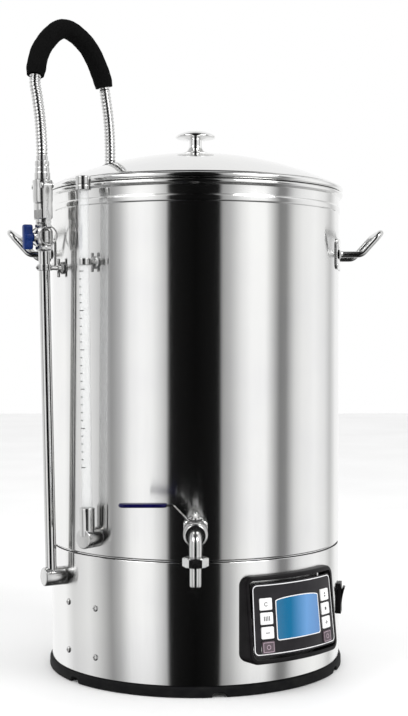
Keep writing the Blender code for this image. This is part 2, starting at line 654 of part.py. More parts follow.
def cone_shell(name, outward, inward, finish=None, parent=None):
    """A shell of the controller's curved face, between two offsets from the face's surface."""
    low, high = PANEL_LOW_Z - 0.002, PANEL_HIGH_Z + 0.002
    slope = (PANEL_LOW_R - PANEL_HIGH_R) / (PANEL_HIGH_Z - PANEL_LOW_Z)
    top, bottom = PANEL_HIGH_R - 0.002 * slope, PANEL_LOW_R + 0.002 * slope
    profile = [(top + outward, high), (bottom + outward, low), (bottom + inward, low), (top + inward, high)]
    return turned(name, profile, finish, parent, facets=120, ring=True)


def through(name, outline, z, parent):
    """An outline pushed straight through the face at a height, seen from outside."""
    return plate(name, [outline], 0.09, parent=parent, location=(0, -0.210, z), rotation=(90, 0, 0))


def make_controller():
    turn = bearing_frame("controller_frame", CONTROLLER_BEARING)
    middle = (PANEL_LOW_Z + PANEL_HIGH_Z) / 2
    height = PANEL_HIGH_Z - PANEL_LOW_Z
    housing = cone_shell("controller_housing", 0, -0.036, "black_plastic", turn)
    combine(housing, through("housing_outline", rounded(PANEL_WIDTH, height, 0.012), middle, turn),
            "INTERSECT")
    combine(housing, through("housing_window", rounded(0.1416, 0.0916, 0.0055), middle, turn), "DIFFERENCE")
    combine(housing, wall_cutter("housing_back"), "DIFFERENCE")
    face = cone_shell("controller_face", -0.0005, -0.0017, "face_film", turn)
    combine(face, through("face_outline", rounded(0.1410, 0.0910, 0.0052), middle, turn), "INTERSECT")
    half, low, high, crown = 0.0370, 0.0705, 0.1190, 0.0040
    combine(face, through("pane_hole", pane_outline(half, low, high, crown), 0, turn), "DIFFERENCE")
    pane = cone_shell("display_window", -0.0006, -0.0018, "display_blue", turn)
    inner = pane_outline(half - GAP, low + GAP, high - GAP, crown)
    combine(pane, through("pane_outline", inner, 0, turn), "INTERSECT")
    for number in range(1, 9):
        make_key(number, face)
    box("control_board", (0.088, 0.0016, 0.060), (0, -0.2055, 0.0930), "board_green", parent=turn,
        rotation=(-6.1, 0, 0))


def pane_outline(half, low, high, crown):
    """The display's outline, whose top edge is a low arch."""
    arch = [(half * math.cos(math.radians(a)), high + crown * math.sin(math.radians(a)))
            for a in range(0, 181, 20)]
    return arch + [(-half, low), (half, low)]


def make_key(number, face):
    """A key, its hole in the face and its own frame, numbered down the left column and then the right."""
    side = -1 if number <= 4 else 1
    row = (number - 1) % 4
    turn = bearing_frame("key_frame_%d" % number, CONTROLLER_BEARING + side * KEY_SWING)
    z = KEY_TOP_Z - row * KEY_PITCH
    width, height = 0.0176, 0.0148
    hole = rounded(width + 2 * GAP, height + 2 * GAP, 0.0015 + GAP, steps=2)
    combine(face, through("key_hole_%d" % number, hole, z, turn), "DIFFERENCE")
    finish = "mauve_key" if row == 3 else "white_key"
    key = cone_shell("button_%d" % number, 0.0010, -0.0024, finish, turn)
    combine(key, through("key_outline_%d" % number, rounded(width, height, 0.0015, steps=2), z, turn),
            "INTERSECT")


def make_switch():
    turn = bearing_frame("switch_frame", SWITCH_BEARING)
    middle, proud = 0.094, 0.0045
    bezel = box("switch_bezel", (0.026, 0.020, 0.042), (0, -BODY_R - proud + 0.010, middle),
                "black_plastic",
                parent=turn, bevel=0.0015)
    combine(bezel, box("switch_hole", (0.0186, 0.060, 0.0330), (0, -BODY_R, middle), parent=turn),
            "DIFFERENCE")
    combine(bezel, wall_cutter("bezel_back"), "DIFFERENCE")
    axis = empty("switch_axis", (0, -BODY_R - 0.004, middle), (10, 0, 0), turn)
    half = 0.0155
    side = [(-half, -0.0002), (0, -0.0020), (half, -0.0002), (half, 0.0032), (0, 0.0020), (-half, 0.0032)]
    outline = [(-out, z) for z, out in side]
    plate("power_rocker", [outline], 0.0176, "black_plastic", parent=axis, rotation=(90, 0, 90))


def make_inlet():
    turn = bearing_frame("inlet_frame", INLET_BEARING)
    middle = 0.085
    inlet = box("power_inlet", (0.036, 0.034, 0.032), (0, -BODY_R + 0.003, middle), "black_plastic",
                parent=turn, bevel=0.002)
    combine(inlet, wall_cutter("inlet_back"), "DIFFERENCE")
    combine(inlet, box("inlet_recess", (0.026, 0.0200, 0.020), (0, -BODY_R - 0.0135, middle), parent=turn),
            "DIFFERENCE")
    for i, (x, z) in enumerate(((-0.007, 0.003), (0.007, 0.003), (0, -0.004))):
        pin = box("inlet_pin_%d" % (i + 1), (0.0016, 0.0095, 0.0045), (x, -BODY_R - 0.0075, middle + z),
                  parent=turn)
        combine(inlet, pin, "UNION")


def make_pump():
    x, y = 0.055, 0.060
    turned("pump_motor", [(0, 0.075), (0.026, 0.075), (0.028, 0.072), (0.028, 0.022), (0, 0.022)],
           "black_plastic", location=(x, y, 0))
    turned("pump_head",
           [(0, 0.080), (0.030, 0.080), (0.030, 0.100), (0.007, 0.102), (0.007, 0.118), (0.010, 0.118),
            (0.010, 0.106), (0.034, 0.104), (0.034, 0.0756), (0, 0.0756)],
           "black_plastic", location=(x, y, 0), facets=20)
    wheel = turned("pump_impeller", [(0, 0.094), (0.006, 0.094), (0.006, 0.084), (0.026, 0.084),
                                     (0.026, 0.0825),
                   (0, 0.0825)], "black_plastic", location=(x, y, 0))
    for i in range(3):
        vane = box("vane_%d" % (i + 1), (0.050, 0.0015, 0.010), (x, y, 0.0888), rotation=(0, 0, 60 * i))
        combine(wheel, vane, "UNION")
    inlet = filleted([(x, y, 0.1184), (x, y, 0.150), (0.115, 0.100, 0.150), (0.115, 0.100, 0.1896)], 0.014)
    bent("pump_inlet_hose", inlet, 0.0075, "silicone", resolution=2)
    outlet = filleted([(x - 0.0346, y, 0.090), (x - 0.070, y, 0.090), (-0.120, -0.060, 0.136),
                       (-0.1700, -0.0904, 0.136)], 0.018)
    bent("pump_outlet_hose", outlet, 0.0075, "silicone", resolution=2)


def make_malt_pipe():
    bottom, top, inner = MALT_BOTTOM_Z, MALT_TOP_Z, MALT_R - 0.0012
    tube = turned("malt_pipe",
                  [(inner, top), (MALT_R + 0.0025, top), (MALT_R + 0.0025, top - 0.005),
                   (MALT_R, top - 0.006),
                   (MALT_R, bottom), (inner, bottom)],
                  "brushed_steel", facets=48, ring=True)
    low = FLOOR_Z + WALL + GAP
    for i in range(3):
        turn = empty("malt_leg_frame_%d" % (i + 1), rotation=(0, 0, 120 * i + 30))
        leg = box("malt_leg_%d" % (i + 1), (0.020, 0.0022, bottom + 0.010 - low),
                  (0, -MALT_R - 0.0008, (bottom + 0.010 + low) / 2), parent=turn)
        combine(tube, leg, "UNION")
    turned("lower_screen", [(0, bottom + 0.004), (inner - GAP - 0.0005, bottom + 0.004),
           (inner - GAP - 0.0005, bottom + 0.002), (0, bottom + 0.002)], "brushed_steel", facets=48)


make_base()
make_kettle()
make_side_handle("handle_left", -1)
make_side_handle("handle_right", 1)
make_lid()
make_tap()
make_gauge()
make_riser()
make_hose()
make_controller()
make_switch()
make_inlet()
make_pump()
make_malt_pipe()
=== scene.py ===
import json
import math

import bmesh
import bpy
from mathutils import Matrix, Vector


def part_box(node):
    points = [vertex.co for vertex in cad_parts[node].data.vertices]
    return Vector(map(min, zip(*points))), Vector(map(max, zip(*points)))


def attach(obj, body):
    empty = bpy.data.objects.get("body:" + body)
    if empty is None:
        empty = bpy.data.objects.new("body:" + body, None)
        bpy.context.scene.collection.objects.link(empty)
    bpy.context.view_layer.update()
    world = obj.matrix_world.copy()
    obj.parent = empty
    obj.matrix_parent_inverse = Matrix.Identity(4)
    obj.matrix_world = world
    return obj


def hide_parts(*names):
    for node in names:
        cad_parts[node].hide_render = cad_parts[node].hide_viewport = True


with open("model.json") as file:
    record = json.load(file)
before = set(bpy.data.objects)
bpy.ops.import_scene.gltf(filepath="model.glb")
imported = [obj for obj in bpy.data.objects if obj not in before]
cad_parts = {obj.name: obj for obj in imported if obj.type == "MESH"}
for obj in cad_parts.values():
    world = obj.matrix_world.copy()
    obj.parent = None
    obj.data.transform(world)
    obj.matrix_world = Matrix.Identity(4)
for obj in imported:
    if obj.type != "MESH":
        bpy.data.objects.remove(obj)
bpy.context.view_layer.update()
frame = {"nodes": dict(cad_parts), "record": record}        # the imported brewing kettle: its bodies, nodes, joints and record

# ---------------------------------------------------------------- places, from the frame

JOINTS = {joint["name"]: joint for joint in frame["record"]["behaviour"]["joints"]}
WALL_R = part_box("base_skirt")[1][0]
RIM_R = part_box("kettle_vessel")[1][0]
SEAM_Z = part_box("base_skirt")[1][2]
FLOOR_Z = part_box("heater_plate")[1][2]
LID_TOP_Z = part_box("lid_dome")[1][2]
DOME_EDGE_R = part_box("lid_dome")[1][0]
TAP_Z = (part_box("tap_ball")[0][2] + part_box("tap_ball")[1][2]) / 2
STEM_Y = JOINTS["tap_turn"]["pos_m"][1]
OUTLET_Y = (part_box("tap_union_nut")[0][1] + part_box("tap_union_nut")[1][1]) / 2
SWITCH_Z = JOINTS["power_rocker_hinge"]["pos_m"][2]
INLET_Z = (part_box("power_inlet")[0][2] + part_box("power_inlet")[1][2]) / 2
PANEL_LOW_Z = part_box("controller_housing")[0][2]
PANEL_HIGH_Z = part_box("controller_housing")[1][2]
MALT_TOP_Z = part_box("malt_pipe")[1][2]
SCREEN_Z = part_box("lower_screen")[1][2]

# The rest is in metres and degrees; a bearing is from the tap's side, positive towards +X.
GAUGE_BEARING = -40
GAUGE_R = 0.2167
GAUGE_LEAN = 0.85
GAUGE_LEAN_Z = 0.290
GAUGE_TUBE_R = 0.0069
RISER_BEARING = -62
RISER_R = 0.22175
RISER_LEAN = 1.25
RISER_LEAN_Z = 0.352
RISER_VALVE_Z = 0.585
COUPLER_Z = 0.6035
CAM_PIVOT_Z = 0.652
CAM_OFFSET = 0.0165
RING_PIVOT_Z = 0.5985
RING_R = 0.0122
PIPE_R = 0.0075
CONTROLLER_BEARING = 38.4
PANEL_LOW_R = 0.2207
PANEL_HIGH_R = 0.209
PANEL_WIDTH = 0.153
KEY_SWING = 13.65
KEY_TOP_Z = 0.1165
KEY_PITCH = 0.0178
SWITCH_BEARING = 80
INLET_BEARING = 150
HOSE_R = 0.0077
TAIL_X = -0.119
TAIL_Y = -0.010


# ---------------------------------------------------------------- outlines and routes

def arc(cx, cy, radius, start, stop, steps):
    """Points on a round stretch, with angles in degrees."""
    turns = [math.radians(start + (stop - start) * i / steps) for i in range(steps + 1)]
    return [(cx + radius * math.cos(a), cy + radius * math.sin(a)) for a in turns]


def rounded(width, height, radius, cx=0.0, cy=0.0, steps=6, runs=1):
    """A rectangle's outline with round corners, each straight side in that many runs."""
    x, y = width / 2 - radius, height / 2 - radius
    outline = []
    for a, b, turn in ((x, y, 0), (-x, y, 90), (-x, -y, 180), (x, -y, 270)):
        outline += arc(cx + a, cy + b, radius, turn, turn + 90, steps)
    filled = []
    for i, point in enumerate(outline):
        after = outline[(i + 1) % len(outline)]
        filled.append(point)
        if i % (steps + 1) == steps:
            filled += [(point[0] + (after[0] - point[0]) * k / runs,
                        point[1] + (after[1] - point[1]) * k / runs)
                       for k in range(1, runs)]
    return filled


def soften(points, radius, ring=False, steps=3):
    """The outline with each real corner rounded."""
    out = []
    for i, corner in enumerate(points):
        here = Vector(corner)
        if not ring and i in (0, len(points) - 1):
            out.append(here)
            continue
        back = Vector(points[i - 1]) - here
        on = Vector(points[(i + 1) % len(points)]) - here
        if back.angle(on) > math.radians(160):
            out.append(here)
            continue
        reach = min(radius, 0.45 * back.length, 0.45 * on.length)
        first, last = here + back.normalized() * reach, here + on.normalized() * reach
        for k in range(steps + 1):
            t = k / steps
            out.append(first * (1 - t) ** 2 + here * 2 * t * (1 - t) + last * t ** 2)
    return out


def filleted(points, radius, steps=8):
    """A route of straight runs with each corner turned on an arc."""
    points = [Vector(p) for p in points]
    route = [points[0]]
    for before, corner, after in zip(points, points[1:], points[2:]):
        a = (before - corner).normalized()
        b = (after - corner).normalized()
        half = a.angle(b) / 2
        centre = corner + (a + b).normalized() * (radius / math.sin(half))
        first = corner + a * (radius / math.tan(half)) - centre
        last = corner + b * (radius / math.tan(half)) - centre
        route += [centre + first.lerp(last, i / steps).normalized() * radius for i in range(steps + 1)]
    route.append(points[-1])
    return route


def smooth_route(points, spacing):
    """Points about evenly spaced along a smooth curve through the route's own points."""
    points = [Vector(p) for p in points]
    ends = [points[0] * 2 - points[1]] + points + [points[-1] * 2 - points[-2]]
    fine = []
    for p0, p1, p2, p3 in zip(ends, ends[1:], ends[2:], ends[3:]):
        for i in range(24):
            t = i / 24
            fine.append(0.5 * (2 * p1 + (p2 - p0) * t + (2 * p0 - 5 * p1 + 4 * p2 - p3) * t ** 2
                               + (3 * p1 - p0 - 3 * p2 + p3) * t ** 3))
    fine.append(points[-1])
    lengths = [0.0]
    for a, b in zip(fine, fine[1:]):
        lengths.append(lengths[-1] + (b - a).length)
    count = round(lengths[-1] / spacing)
    route, j = [], 0
    for i in range(count + 1):
        want = lengths[-1] * i / count
        while j < len(fine) - 2 and lengths[j + 1] < want:
            j += 1
        share = (want - lengths[j]) / (lengths[j + 1] - lengths[j])
        route.append(fine[j].lerp(fine[j + 1], min(share, 1.0)))
    return route


def turn_z(bearing):
    return Matrix.Rotation(math.radians(bearing), 4, "Z")


def upright(bearing, r, z):
    """A frame at that bearing and radius whose Z is up and whose -Y points out."""
    return turn_z(bearing) @ Matrix.Translation((0, -r, z))


def leaning(bearing, r, z, lean):
    """A frame on a column that leans out about the point at that height; its Z runs up the column."""
    tip = Matrix.Rotation(math.radians(lean), 4, "X")
    return turn_z(bearing) @ Matrix.Translation((0, -r, z)) @ tip @ Matrix.Translation((0, 0, -z))


def out_of(column, z):
    """A frame at that height on a column whose Z points out of the wall."""
    return column @ Matrix.Translation((0, 0, z)) @ Matrix.Rotation(math.radians(90), 4, "X")


def outward(bearing, z):
    """A frame on the kettle's axis whose Z points out at that bearing."""
    return turn_z(bearing) @ Matrix.Translation((0, 0, z)) @ Matrix.Rotation(math.radians(90), 4, "X")


# ---------------------------------------------------------------- mesh building

def solid(name, verts, faces, place=Matrix(), sharp=38):
    """A mesh object whose place is in its mesh."""
    mesh = bpy.data.meshes.new(name)
    mesh.from_pydata([tuple(v) for v in verts], [], faces)
    mesh.transform(place)
    mesh.shade_smooth()
    mesh.set_sharp_from_angle(angle=math.radians(sharp))
    obj = bpy.data.objects.new(name, mesh)
    bpy.context.scene.collection.objects.link(obj)
    return obj


def lathe(name, profile, place=Matrix(), segments=64, ring=False, soft=0.0004, steps=3, sides=None):
    """A profile of (radius, height), down its outer side, turned about Z; sides makes it a polygon."""
    points = soften(profile, soft, ring, steps) if soft else [Vector(p) for p in profile]
    verts, rings = [], []
    for r, z in points:
        if r < 1e-7:
            rings.append([len(verts)])
            verts.append((0, 0, z))
            continue
        rings.append(range(len(verts), len(verts) + segments))
        verts += [(r * math.cos(math.tau * i / segments), r * math.sin(math.tau * i / segments), z)
                  for i in range(segments)]
    faces = []
    for upper, lower in zip(rings, rings[1:] + (rings[:1] if ring else [])):
        for i in range(segments):
            j = (i + 1) % segments
            quad = [upper[i % len(upper)], lower[i % len(lower)], lower[j % len(lower)],
                    upper[j % len(upper)]]
            face = list(dict.fromkeys(quad))
            if len(face) > 2:
                faces.append(face)
    if sides:
        verts = [hexed(v, sides) for v in verts]
    return solid(name, verts, faces, place)


def hexed(vert, sides):
    """Pushes a point of a turned piece onto a polygon that its circle goes round."""
    x, y, z = vert
    step = math.tau / sides
    angle = math.atan2(y, x)
    off = (angle + step / 2) % step - step / 2
    return x / math.cos(off) * math.cos(step / 2), y / math.cos(off) * math.cos(step / 2), z


def hex_nut(name, across, bore, height, place):
    """A chamfered hexagon nut standing on z = 0, with its flats towards X."""
    sides, per_side = 6, 8
    apothem = across / 2
    corner = apothem / math.cos(math.pi / 6)
    segments = sides * per_side
    levels = [(0.0, apothem * 0.97), (0.0011, corner), (height - 0.0011, corner), (height, apothem * 0.97)]
    verts = []
    for z, limit in levels:
        for i in range(segments):
            angle = math.tau * i / segments
            off = (angle + math.pi / 6) % (math.pi / 3) - math.pi / 6
            r = min(apothem / math.cos(off), limit)
            verts.append((r * math.cos(angle), r * math.sin(angle), z))
    for z in (height, 0.0):
        verts += [(bore * math.cos(math.tau * i / segments), bore * math.sin(math.tau * i / segments), z)
                  for i in range(segments)]
    order = [0, 1, 2, 3, 4, 5, 0]
    faces = []
    for low, high in zip(order, order[1:]):
        for i in range(segments):
            j = (i + 1) % segments
            faces.append([low * segments + i, low * segments + j, high * segments + j, high * segments + i])
    return solid(name, verts, faces, place, sharp=25)


def sweep(name, route, radius, sides=20, closed=False, place=Matrix(), flat=1.0):
    """A round section along a route; radius may be a list, and flat narrows the section's second axis."""
    route = [Vector(p) for p in route]
    count = len(route)
    radii = radius if isinstance(radius, list) else [radius] * count
    verts, normal = [], None
    for i, point in enumerate(route):
        before = route[i - 1] if i or closed else point
        after = route[(i + 1) % count] if i < count - 1 or closed else point
        along = (after - before).normalized()
        normal = along.orthogonal() if normal is None else normal
        normal = (normal - along * normal.dot(along)).normalized()
        across = along.cross(normal)
        verts += [point + (normal * math.cos(math.tau * k / sides) + across * math.sin(math.tau * k / sides) * flat)
                  * radii[i] for k in range(sides)]
    faces = []
    for i in range(count if closed else count - 1):
        a, b = i * sides, (i + 1) % count * sides
        faces += [[a + k, a + (k + 1) % sides, b + (k + 1) % sides, b + k] for k in range(sides)]
    if not closed:
        faces.append(list(reversed(range(sides))))
        faces.append(list(range((count - 1) * sides, count * sides)))
    return solid(name, verts, faces, place)


def loft(name, rings, place=Matrix(), closed=True, sharp=38):
    """Skins rings that have the same number of points, and joins the last to the first if closed."""
    size = len(rings[0])
    verts = [v for ring in rings for v in ring]
    faces = []
    for i in range(len(rings) if closed else len(rings) - 1):
        a, b = i * size, (i + 1) % len(rings) * size
        faces += [[a + k, a + (k + 1) % size, b + (k + 1) % size, b + k] for k in range(size)]
    if not closed:
        faces.append(list(reversed(range(size))))
        faces.append(list(range((len(rings) - 1) * size, len(rings) * size)))
    return solid(name, verts, faces, place, sharp)


def settle(obj, sharp=38):
    """Applies the object's modifiers and welds what they leave."""
    bpy.context.view_layer.update()
    mesh = bpy.data.meshes.new_from_object(obj.evaluated_get(bpy.context.evaluated_depsgraph_get()))
    work = bmesh.new()
    work.from_mesh(mesh)
    bmesh.ops.remove_doubles(work, verts=work.verts, dist=0.000005)
    work.to_mesh(mesh)
    work.free()
    mesh.shade_smooth()
    mesh.set_sharp_from_angle(angle=math.radians(sharp))
    obj.modifiers.clear()
    obj.data = mesh
    return obj


def slab(name, outlines, thickness, place=Matrix(), soft=0.0, segments=3):
    """A flat plate of outlines, with its middle at z = 0 and rounded edges; later outlines are holes."""
    curve = bpy.data.curves.new(name, "CURVE")
    curve.dimensions = "2D"
    curve.fill_mode = "BOTH"
    curve.extrude = thickness / 2
    for outline in outlines:
        spline = curve.splines.new("POLY")
        spline.points.add(len(outline) - 1)
        spline.use_cyclic_u = True
        for point, (x, y) in zip(spline.points, outline):
            point.co = (x, y, 0, 1)
    guide = bpy.data.objects.new(name, curve)
    bpy.context.scene.collection.objects.link(guide)
    bpy.context.view_layer.update()
    mesh = bpy.data.meshes.new_from_object(guide.evaluated_get(bpy.context.evaluated_depsgraph_get()))
    bpy.data.objects.remove(guide, do_unlink=True)
    work = bmesh.new()
    work.from_mesh(mesh)
    bmesh.ops.remove_doubles(work, verts=work.verts, dist=0.000005)
    bmesh.ops.dissolve_limit(work, angle_limit=0.01, verts=work.verts, edges=work.edges)
    work.to_mesh(mesh)
    work.free()
    obj = bpy.data.objects.new(name, mesh)
    bpy.context.scene.collection.objects.link(obj)
    if soft:
        edge = obj.modifiers.new("edges", "BEVEL")
        edge.width = soft
        edge.segments = segments
        edge.limit_method = "ANGLE"
        edge.angle_limit = math.radians(50)
        settle(obj)
    obj.data.transform(place)
    obj.data.shade_smooth()
    obj.data.set_sharp_from_angle(angle=math.radians(38))
    return obj


def carve(obj, cutter, how="DIFFERENCE"):
    """Cuts obj by the cutter, or joins them, and removes the cutter."""
    cut = obj.modifiers.new("cut", "BOOLEAN")
    cut.operation = how
    cut.object = cutter
    settle(obj)
    bpy.data.objects.remove(cutter, do_unlink=True)
    return obj


def wrap(obj, bearing, radius_at, every=0.003):
    """Bends a flat piece, whose x is along the wall, y is up and z is out, round the kettle."""
    work = bmesh.new()
    work.from_mesh(obj.data)
    xs = [v.co.x for v in work.verts]
    cut = math.ceil(min(xs) / every) * every
    while cut < max(xs):
        geometry = work.verts[:] + work.edges[:] + work.faces[:]
        bmesh.ops.bisect_plane(work, geom=geometry, dist=1e-7, plane_co=(cut, 0, 0), plane_no=(1, 0, 0))
        cut += every
    middle = radius_at(sum(v.co.y for v in work.verts) / len(work.verts))
    for vert in work.verts:
        x, y, z = vert.co
        angle = math.radians(bearing) + x / middle
        r = radius_at(y) + z
        vert.co = (r * math.sin(angle), -r * math.cos(angle), y)
    work.to_mesh(obj.data)
    work.free()
    obj.data.shade_smooth()
    obj.data.set_sharp_from_angle(angle=math.radians(38))
    return obj


def wall_radius(z):
    return WALL_R


def panel_radius(z):
    return PANEL_LOW_R + (PANEL_HIGH_R - PANEL_LOW_R) * (z - PANEL_LOW_Z) / (PANEL_HIGH_Z - PANEL_LOW_Z)


def put(obj, material, body, slot, *nodes):
    """Gives a piece its material and its body, and hides the CAD nodes that it stands for; slot is not used."""
    obj.data.materials.clear()
    obj.data.materials.append(material)
    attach(obj, body)
    if nodes:
        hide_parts(*nodes)
    return obj


# ---------------------------------------------------------------- materials

def node(material, kind, **values):
    made = material.node_tree.nodes.new(kind)
    for name, value in values.items():
        if hasattr(made, name):
            setattr(made, name, value)
        else:
            made.inputs[name].default_value = value
    return made


def link(material, source, target):
    material.node_tree.links.new(source, target)


def principled(name, colour, roughness, metallic=0.0, **sockets):
    material = bpy.data.materials.new(name)
    material.use_nodes = True
    shader = material.node_tree.nodes["Principled BSDF"]
    shader.inputs["Base Color"].default_value = (*colour, 1)
    shader.inputs["Roughness"].default_value = roughness
    shader.inputs["Metallic"].default_value = metallic
    for socket, value in sockets.items():
        shader.inputs[socket.replace("_", " ")].default_value = value
    return material, shader


def noise(material, scale, detail=4.0, stretch=(1, 1, 1), roughness=0.5):
    """Noise over the piece's own coordinates, in features per metre."""
    place = node(material, "ShaderNodeTexCoord")
    mapping = node(material, "ShaderNodeMapping")
    mapping.inputs["Scale"].default_value = stretch
    link(material, place.outputs["Object"], mapping.inputs["Vector"])
    texture = node(material, "ShaderNodeTexNoise", Scale=scale, Detail=detail, Roughness=roughness)
    link(material, mapping.outputs["Vector"], texture.inputs["Vector"])
    return texture.outputs["Fac"]


def ranged(material, source, low, high, start=0.3, stop=0.7):
    """The source's start to stop becomes low to high."""
    made = node(material, "ShaderNodeMapRange")
    for name, value in (("From Min", start), ("From Max", stop), ("To Min", low), ("To Max", high)):
        made.inputs[name].default_value = value
    link(material, source, made.inputs["Value"])
    return made.outputs["Result"]


def tinted(material, shader, source, first, second, start=0.35, stop=0.65):
    """The base colour goes from one colour to another with the source."""
    ramp = node(material, "ShaderNodeValToRGB")
    ramp.color_ramp.elements[0].position = start
    ramp.color_ramp.elements[0].color = (*first, 1)
    ramp.color_ramp.elements[1].position = stop
    ramp.color_ramp.elements[1].color = (*second, 1)
    link(material, source, ramp.inputs["Fac"])
    link(material, ramp.outputs["Color"], shader.inputs["Base Color"])


def bumped(material, shader, source, strength, distance):
    made = node(material, "ShaderNodeBump", Strength=strength, Distance=distance)
    link(material, source, made.inputs["Height"])
    link(material, made.outputs["Normal"], shader.inputs["Normal"])


def steel(name, shade, low, high, grain=(1, 1, 1), scale=40, bump=0.02, fine=900, **sockets):
    """Bare stainless steel: its sheen wanders a little, with fine grain along one direction."""
    material, shader = principled(name, (shade, shade, shade * 0.985), (low + high) / 2, 1.0, **sockets)
    broad = noise(material, scale, 5.0)
    tinted(material, shader, broad, (shade * 0.95,) * 3, (shade, shade, shade * 0.985))
    grained = noise(material, fine, 3.0, grain)
    link(material, ranged(material, grained, low, high), shader.inputs["Roughness"])
    bumped(material, shader, grained, bump, 0.0003)
    return material


def plastic(name, first, second, low, high, scale=1500, bump=0.15, **sockets):
    """Moulded plastic or rubber with a fine texture and a little unevenness in its colour."""
    material, shader = principled(name, first, (low + high) / 2, 0.0, **sockets)
    tinted(material, shader, noise(material, 60, 4.0), first, second)
    texture = noise(material, scale, 4.0)
    link(material, ranged(material, texture, low, high), shader.inputs["Roughness"])
    bumped(material, shader, texture, bump, 0.0002)
    return material


def foam():
    """Closed cell foam: small pits in a matt black skin, each pit darkened towards its middle as painted shade."""
    material, shader = principled("foam_black", (0.004, 0.004, 0.004), 0.95, 0.0, Specular_IOR_Level=0.03)
    cells = node(material, "ShaderNodeTexVoronoi", Scale=700.0)
    place = node(material, "ShaderNodeTexCoord")
    link(material, place.outputs["Object"], cells.inputs["Vector"])
    # painted shade: the colour darkens towards each cell's middle, where the bump sinks the pit
    tinted(material, shader, cells.outputs["Distance"], (0.002, 0.002, 0.002), (0.006, 0.006, 0.006), 0.1,
           0.6)
    bumped(material, shader, cells.outputs["Distance"], 0.5, 0.0006)
    return material


def display_glass():
    """The lit display: deep teal on the left, paler blue towards the right, as one broad gradient."""
    material, shader = principled("display_blue", (0.01, 0.13, 0.27), 0.12, 0.0, Coat_Weight=0.4,
                                  Coat_Roughness=0.05)
    place = node(material, "ShaderNodeTexCoord")
    apart = node(material, "ShaderNodeSeparateXYZ")
    link(material, place.outputs["Object"], apart.inputs["Vector"])
    left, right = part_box("display_window")[0][0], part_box("display_window")[1][0]
    across = ranged(material, apart.outputs["X"], 0.0, 1.0, left, right)
    ramp = node(material, "ShaderNodeValToRGB")
    stops = ramp.color_ramp.elements
    stops[0].color = (0.0, 0.090, 0.190, 1)
    stops[1].color = (0.050, 0.150, 0.340, 1)
    for place_at, colour in ((0.35, (0.0, 0.105, 0.225, 1)), (0.70, (0.075, 0.215, 0.440, 1))):
        stops.new(place_at).color = colour
    link(material, across, ramp.inputs["Fac"])
    link(material, ramp.outputs["Color"], shader.inputs["Base Color"])
    link(material, ramp.outputs["Color"], shader.inputs["Emission Color"])
    shader.inputs["Emission Strength"].default_value = 0.35
    pixels = noise(material, 1800, 2.0)
    bumped(material, shader, pixels, 0.03, 0.0001)
    return material


MATERIALS = {
    "wall": steel("steel_wall", 0.74, 0.12, 0.16, (1, 1, 0.06), 9, 0.006, 500, Anisotropic=1.0,
                  Anisotropic_Rotation=0.25),
    "lid": steel("steel_lid", 0.78, 0.07, 0.11, (1, 1, 1), 14, 0.010, 420),
    "cast": steel("steel_cast", 0.60, 0.14, 0.26, (1, 1, 1), 120, 0.12, 1400),
    "tube": steel("steel_tube", 0.64, 0.08, 0.15, (1, 1, 0.05), 60, 0.03, 900),
    "wire": steel("steel_wire", 0.60, 0.11, 0.20, (1, 1, 1), 90, 0.04, 1100),
    "inner": steel("steel_inner", 0.66, 0.20, 0.34, (1, 1, 0.1), 20, 0.04, 700),
    "rubber": plastic("rubber_black", (0.005, 0.005, 0.006), (0.010, 0.010, 0.010), 0.62, 0.82, 900, 0.3,
                      Specular_IOR_Level=0.12),
    "housing": plastic("plastic_black", (0.004, 0.0035, 0.004), (0.008, 0.007, 0.008), 0.30, 0.45, 2200,
                       0.18,
                       Specular_IOR_Level=0.15),
    "film": plastic("film_charcoal", (0.012, 0.011, 0.013), (0.019, 0.017, 0.020), 0.30, 0.42, 2600, 0.10,
                    Specular_IOR_Level=0.2),
    "key_white": plastic("key_white", (0.86, 0.86, 0.85), (0.90, 0.90, 0.90), 0.40, 0.52, 2000, 0.05),
    "key_mauve": plastic("key_mauve", (0.072, 0.050, 0.062), (0.115, 0.084, 0.100), 0.40, 0.52, 2000, 0.05),
    "ink_white": plastic("ink_white", (0.80, 0.80, 0.82), (0.88, 0.88, 0.88), 0.45, 0.55, 2000, 0.02),
    "ink_dark": plastic("ink_dark", (0.02, 0.02, 0.02), (0.05, 0.05, 0.05), 0.45, 0.55, 2000, 0.02),
    "ink_mauve": plastic("ink_mauve", (0.36, 0.27, 0.32), (0.46, 0.36, 0.42), 0.45, 0.55, 2000, 0.02),
    "navy": plastic("vinyl_navy", (0.001, 0.0005, 0.035), (0.002, 0.001, 0.055), 0.22, 0.38, 500, 0.12,
                    Specular_IOR_Level=0.15),
    "blue": plastic("vinyl_blue", (0.001, 0.016, 0.105), (0.003, 0.025, 0.150), 0.25, 0.40, 500, 0.12,
                    Specular_IOR_Level=0.2),
    "silicone": plastic("silicone_clear", (0.62, 0.62, 0.60), (0.70, 0.70, 0.68), 0.35, 0.50, 700, 0.05),
    "board": plastic("board_green", (0.010, 0.085, 0.030), (0.016, 0.115, 0.042), 0.35, 0.50, 800, 0.05),
    "alloy": steel("cast_alloy", 0.56, 0.40, 0.60, (1, 1, 1), 60, 0.20, 900),
    "foam": foam(),
    "display": display_glass(),
}


def gauge_plastic():
    """Clear tube: nearly unseen face on, with painted grey shade along its sides where the camera sees its wall
    edge on.
    """
    material, shader = principled("tube_clear", (0.93, 0.95, 0.95), 0.08, 0.0, IOR=1.3)
    edge = node(material, "ShaderNodeLayerWeight", Blend=0.5)
    # painted shade: grey where the surface turns away from the camera, standing in for the dark edges of a clear
    # tube
    tinted(material, shader, edge.outputs["Facing"], (0.95, 0.96, 0.96), (0.38, 0.39, 0.40), 0.55, 0.95)
    link(material, ranged(material, edge.outputs["Facing"], 0.22, 0.85, 0.55, 0.98), shader.inputs["Alpha"])
    frost = noise(material, 300, 3.0)
    link(material, ranged(material, frost, 0.04, 0.12), shader.inputs["Roughness"])
    return material


MATERIALS["gauge"] = gauge_plastic()


# ---------------------------------------------------------------- camera, light and floor

